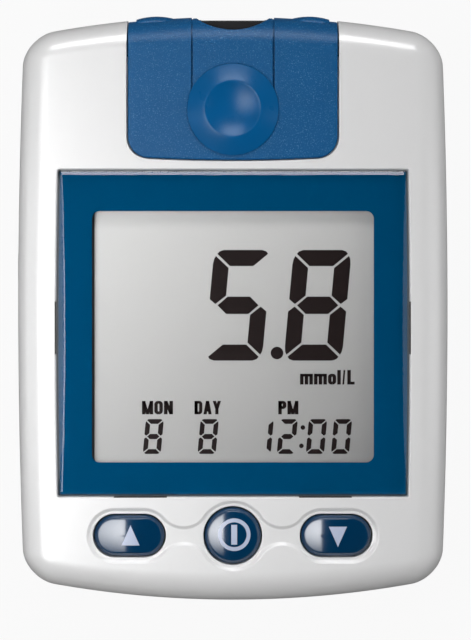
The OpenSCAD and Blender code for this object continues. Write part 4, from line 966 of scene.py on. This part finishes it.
def make_back_case():
    """The back half with its battery bay, its door's recess and the wells of its four screws."""
    case = block("case_back", 0, 0, SEAM_Z, BACK_EDGE_R, SEAM_EDGE, steps=18)
    cut(case, block("hollow", WALL, FLOOR_T, SEAM_Z + 1, BACK_EDGE_R - WALL, 0))
    lip_gap, lip_t, lip_h, root = 0.1, 1.0, 1.0, WALL - 0.5
    lip = prism("lip", case_outline, [(root, SEAM_Z - 2.5), (root, SEAM_Z - 1), (WALL + lip_gap, SEAM_Z - 1),
                                      (WALL + lip_gap, SEAM_Z + lip_h)])
    cut(lip, prism("inner", case_outline, [(WALL + lip_gap + lip_t, 0), (WALL + lip_gap + lip_t, TALL)]))
    cell_gap, bay_wall, lap = 0.2, 1.2, 0.5
    bay_w = span("battery_plates", X)
    bay_high, bay_low = high("battery_upper", Y) + cell_gap, low("battery_lower", Y) - cell_gap
    bay_y, bay_l = (bay_high + bay_low) / 2, bay_high - bay_low
    bay_top, base = high("battery_upper", Z) + cell_gap, FLOOR_T - lap
    bay = box("bay", 0, bay_y, base, bay_w + 2 * bay_wall, bay_l + 2 * bay_wall, bay_top + 1 - base)
    door_w = 2 * (high("battery_door", X) - RAIL_W)
    end_floor = box("end_floor", 0, (bay_low - BODY_L / 2 + WALL) / 2, base, door_w + 4.5,
                    bay_low + BODY_L / 2 - WALL + 2 * lap, 2)
    overlap_of(end_floor, block("inside", 0.5, 0, SEAM_Z, BACK_EDGE_R, 0, steps=18))
    boss_r, boss_top, well_r, well_depth = 2.3, 10.6, 1.9, 3.4
    join(case, lip, bay, end_floor, *round_posts("boss", boss_r, [(0, base), (0, boss_top)]))
    wells = round_posts("well", well_r, [(0.3, -0.5), (0.2, 0), (0.05, 0.05), (0, 0.2), (0, well_depth)])
    door_top, far = high("battery_door", Z), BODY_L
    end_y = high("battery_door", Y) + DOOR_GAP - far / 2
    recess = box("recess", 0, end_y, -1, door_w + 2 * DOOR_GAP, far, door_top + DOOR_GAP + 1)
    groove_w = 2 * (high("battery_door", X) + GROOVE_GAP)
    groove_z = middle("battery_door", Z) - RAIL_T / 2 - GROOVE_GAP
    grooves = box("grooves", 0, end_y, groove_z, groove_w, far, RAIL_T + 2 * GROOVE_GAP)
    cut(case, box("room", 0, bay_y, -1, bay_w, bay_l, bay_top + 1), recess, grooves, *wells)
    dress(case, "housing", "case_white", PEARL, "back_case")


def make_door():
    """The sliding battery door with its rails and grip ribs."""
    bottom, top, end = low("battery_door", Z), high("battery_door", Z), high("battery_door", Y)
    reach, far = high("battery_door", X), BODY_L
    w = 2 * (reach - RAIL_W)
    plan = lambda m: rounded_outline(0, end - far / 2, w + 2 * m, far + 2 * m, 0.4)
    door = prism("battery_cover", plan, over(bottom, [(-0.15, 0), (-0.04, 0.04), (0, 0.15)]) + [(0, top)])
    rail_z = middle("battery_door", Z) - RAIL_T / 2
    join(door, box("rails", 0, end - far / 2, rail_z, 2 * reach, far - 0.4, RAIL_T))
    overlap_of(door, block("end", 0, 0, SEAM_Z, BACK_EDGE_R, 0, steps=18))
    ribs, pitch, rib_reach, shorter, rib_r, first = 5, 1.6, 7, 0.35, 0.4, end - 3.5
    grips = []
    for k in range(ribs):
        x_to = rib_reach - shorter * abs(k - (ribs - 1) / 2)
        section = [(y, bottom + z) for y, z in circle(first - k * pitch, 0, rib_r, 12)]
        grips.append(rings("grip", [[(x, y, z) for y, z in section] for x in (-x_to, x_to)]))
    cut(door, *grips)
    dress(door, "battery_door_body", "case_white", PEARL, "battery_door")


# ---- the parts that stay as the CAD has them
def paint_nodes():
    paints = {
        "lcd_glass": LCD, "lcd_holder": WHITE, "zebra_strips": RUBBER, "main_board": BOARD,
        "board_passives": TAN, "strip_contacts": BRASS, "battery_upper": CELL, "battery_lower": CELL,
    }
    for node in ("processor", "analog_chip", "buzzer"):
        paints[node] = BLACK
    for node in ("lcd_reflector", "crystal", "ejector_spring", "battery_springs", "battery_plates",
                 "case_screws", "board_screws"):
        paints[node] = STEEL
    for key in ("up", "power", "down", "set"):
        paints[key + "_switch"] = BLACK
        paints[key + "_plunger"] = STEEL
    for node, paint in paints.items():
        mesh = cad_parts[node].data
        mesh.materials.clear()
        mesh.materials.append(paint)


# ---- floor, light and camera
FLOOR_REACH = 3000
FLOOR_Z = -0.05
FLOOR_GREY = (0.45, 0.45, 0.45, 1)
FLOOR_GREY_IN_GLOSS = (0.1, 0.1, 0.1, 1)
FLOOR_GLOW = 0.93


def make_floor():
    """A pale floor that is nearly white to the camera and darker in gloss, and keeps the object's shadow."""
    floor = new_object("floor", [(x * FLOOR_REACH, y * FLOOR_REACH, FLOOR_Z)
                                 for x, y in ((-1, -1), (1, -1), (1, 1), (-1, 1))], [[0, 1, 2, 3]])
    mat, tree, shader = new_material("pale_floor")
    shader.inputs["Roughness"].default_value = 0.9
    glow = add(tree, "Emission", {"Color": (1, 1, 1, 1)})
    path = add(tree, "LightPath")
    tone = add(tree, "Mix", {"A": FLOOR_GREY, "B": FLOOR_GREY_IN_GLOSS}, data_type="RGBA")
    share = add(tree, "Math", {1: FLOOR_GLOW}, operation="MULTIPLY")
    mix = add(tree, "MixShader")
    wire(tree, (path, "Is Glossy Ray", tone, "Factor"), (tone, "Result", shader, "Base Color"),
         (path, "Is Camera Ray", share, 0), (share, "Value", mix, "Fac"), (shader, "BSDF", mix, 1),
         (glow, "Emission", mix, 2), (mix, "Shader", tree.nodes["Material Output"], "Surface"))
    floor.data.materials.append(mat)


def panel(name, place, aim, size, radiance, fade=1.0, soft_ends=False, lights="matt"):
    """A softbox in front of a point. Its radiance is what a mirror shows. It fades across its width, and to
    nothing at soft ends. It only lights matt surfaces, or it only shows in gloss."""
    data = bpy.data.lights.new(name, "AREA")
    data.shape = "RECTANGLE"
    data.size, data.size_y = size[0] * MM, size[1] * MM
    data.energy = radiance * math.pi * data.size * data.size_y
    if fade != 1.0:
        data.use_nodes = True
        tree = data.node_tree
        emission = tree.nodes["Emission"]
        across = add(tree, "NewGeometry")
        split = add(tree, "SeparateXYZ")
        slope = add(tree, "MapRange", {"To Min": 2 * fade / (1 + fade), "To Max": 2 / (1 + fade)})
        wire(tree, (across, "Parametric", split, "Vector"), (split, "X", slope, "Value"),
             (slope, "Result", emission, "Strength"))
        if soft_ends:
            from_end = add(tree, "Math", {1: 0.5}, operation="PINGPONG")
            rise = add(tree, "MapRange", {"From Max": 0.5}, interpolation_type="SMOOTHSTEP")
            both = add(tree, "Math", operation="MULTIPLY")
            wire(tree, (split, "Y", from_end, 0), (from_end, "Value", rise, "Value"),
                 (rise, "Result", both, 0), (slope, "Result", both, 1), (both, "Value", emission, "Strength"))
    lamp = bpy.data.objects.new(name, data)
    lamp.location = [c * MM for c in place]
    lamp.visible_camera = False
    lamp.visible_glossy = lights == "gloss"
    lamp.visible_diffuse = lights == "matt"
    bpy.context.scene.collection.objects.link(lamp)
    direction = Vector(aim) - Vector(place)
    lamp.rotation_euler = direction.to_track_quat("-Z", "Y").to_euler()


def make_lamps():
    panel("left_softbox", (-66, -16, 146), aim=(-66, -16, 0), size=(57, 112), radiance=6.2, fade=0.28)
    panel("top_softbox", (20, 300, 290), aim=(0, 20, 20), size=(220, 180), radiance=4)
    panel("right_strip", (440, 0, 250), aim=(0, 0, 20), size=(100, 400), radiance=4.6)
    panel("left_mirror_box", (-223, -30, 421), aim=(-223, -30, 0), size=(314, 460), radiance=9,
          lights="gloss", fade=0.45, soft_ends=True)
    panel("top_mirror_box", (0, 340, 290), aim=(0, 20, 21), size=(230, 150), radiance=12, lights="gloss")
    for name, x, radiance in (("low_left_mirror_box", -480, 2.2), ("low_right_mirror_box", 480, 1)):
        panel(name, (x, 0, 130), aim=(0, 0, 21), size=(150, 500), radiance=radiance, lights="gloss")


# The sky's brightness by its place from the horizon (0) to straight above (1), and its tone.
SKY_STOPS = [(0.0, 0.36), (0.3, 0.3), (0.6, 0.12), (0.85, 0.02), (1.0, 0.0)]
SKY_TONE = (1, 0.985, 0.975)


def make_world():
    """A sky that is darkest straight above, and white to the camera."""
    world = bpy.data.worlds.new("studio")
    world.use_nodes = True
    tree = world.node_tree
    sky = tree.nodes["Background"]
    coords = add(tree, "TexCoord")
    split = add(tree, "SeparateXYZ")
    ramp = add(tree, "ValToRGB")
    stops = ramp.color_ramp.elements
    while len(stops) < len(SKY_STOPS):
        stops.new(0.5)
    for stop, (place, level) in zip(stops, SKY_STOPS):
        stop.position = place
        stop.color = (*(level * tone for tone in SKY_TONE), 1)
    white = add(tree, "Background", {"Color": (1, 1, 1, 1)})
    path = add(tree, "LightPath")
    mix = add(tree, "MixShader")
    wire(tree, (coords, "Generated", split, "Vector"), (split, "Z", ramp, "Fac"),
         (ramp, "Color", sky, "Color"), (path, "Is Camera Ray", mix, "Fac"), (sky, "Background", mix, 1),
         (white, "Background", mix, 2), (mix, "Shader", tree.nodes["World Output"], "Surface"))
    bpy.context.scene.world = world


def make_camera():
    data = bpy.data.cameras.new("camera")
    data.sensor_fit = "VERTICAL"
    data.sensor_height = 24
    data.lens = data.sensor_height * CAMERA_H / (PICTURE_H * PIXEL)
    data.clip_start, data.clip_end = 0.01, 20
    camera = bpy.data.objects.new("camera", data)
    camera.location = (CAMERA_X * MM, CAMERA_Y * MM, (CAMERA_PLANE + CAMERA_H) * MM)
    bpy.context.scene.collection.objects.link(camera)
    bpy.context.scene.camera = camera
    bpy.context.scene.view_settings.view_transform = "Standard"


make_front_case()
make_cover()
make_tongue()
make_pad()
make_lens()
make_print()
make_key("up_key_cap", "up_key_body", "up_key", -KEY_X, KEY_W, KEY_L, triangle(1))
make_key("power_key_cap", "power_key_body", "power_key", 0, POWER_D, POWER_D, power_mark)
make_key("down_key_cap", "down_key_body", "down_key", KEY_X, KEY_W, KEY_L, triangle(-1))
make_set_button()
make_digits()
make_strip_port()
make_gasket()
make_back_case()
make_door()
paint_nodes()
make_floor()
make_lamps()
make_world()
make_camera()
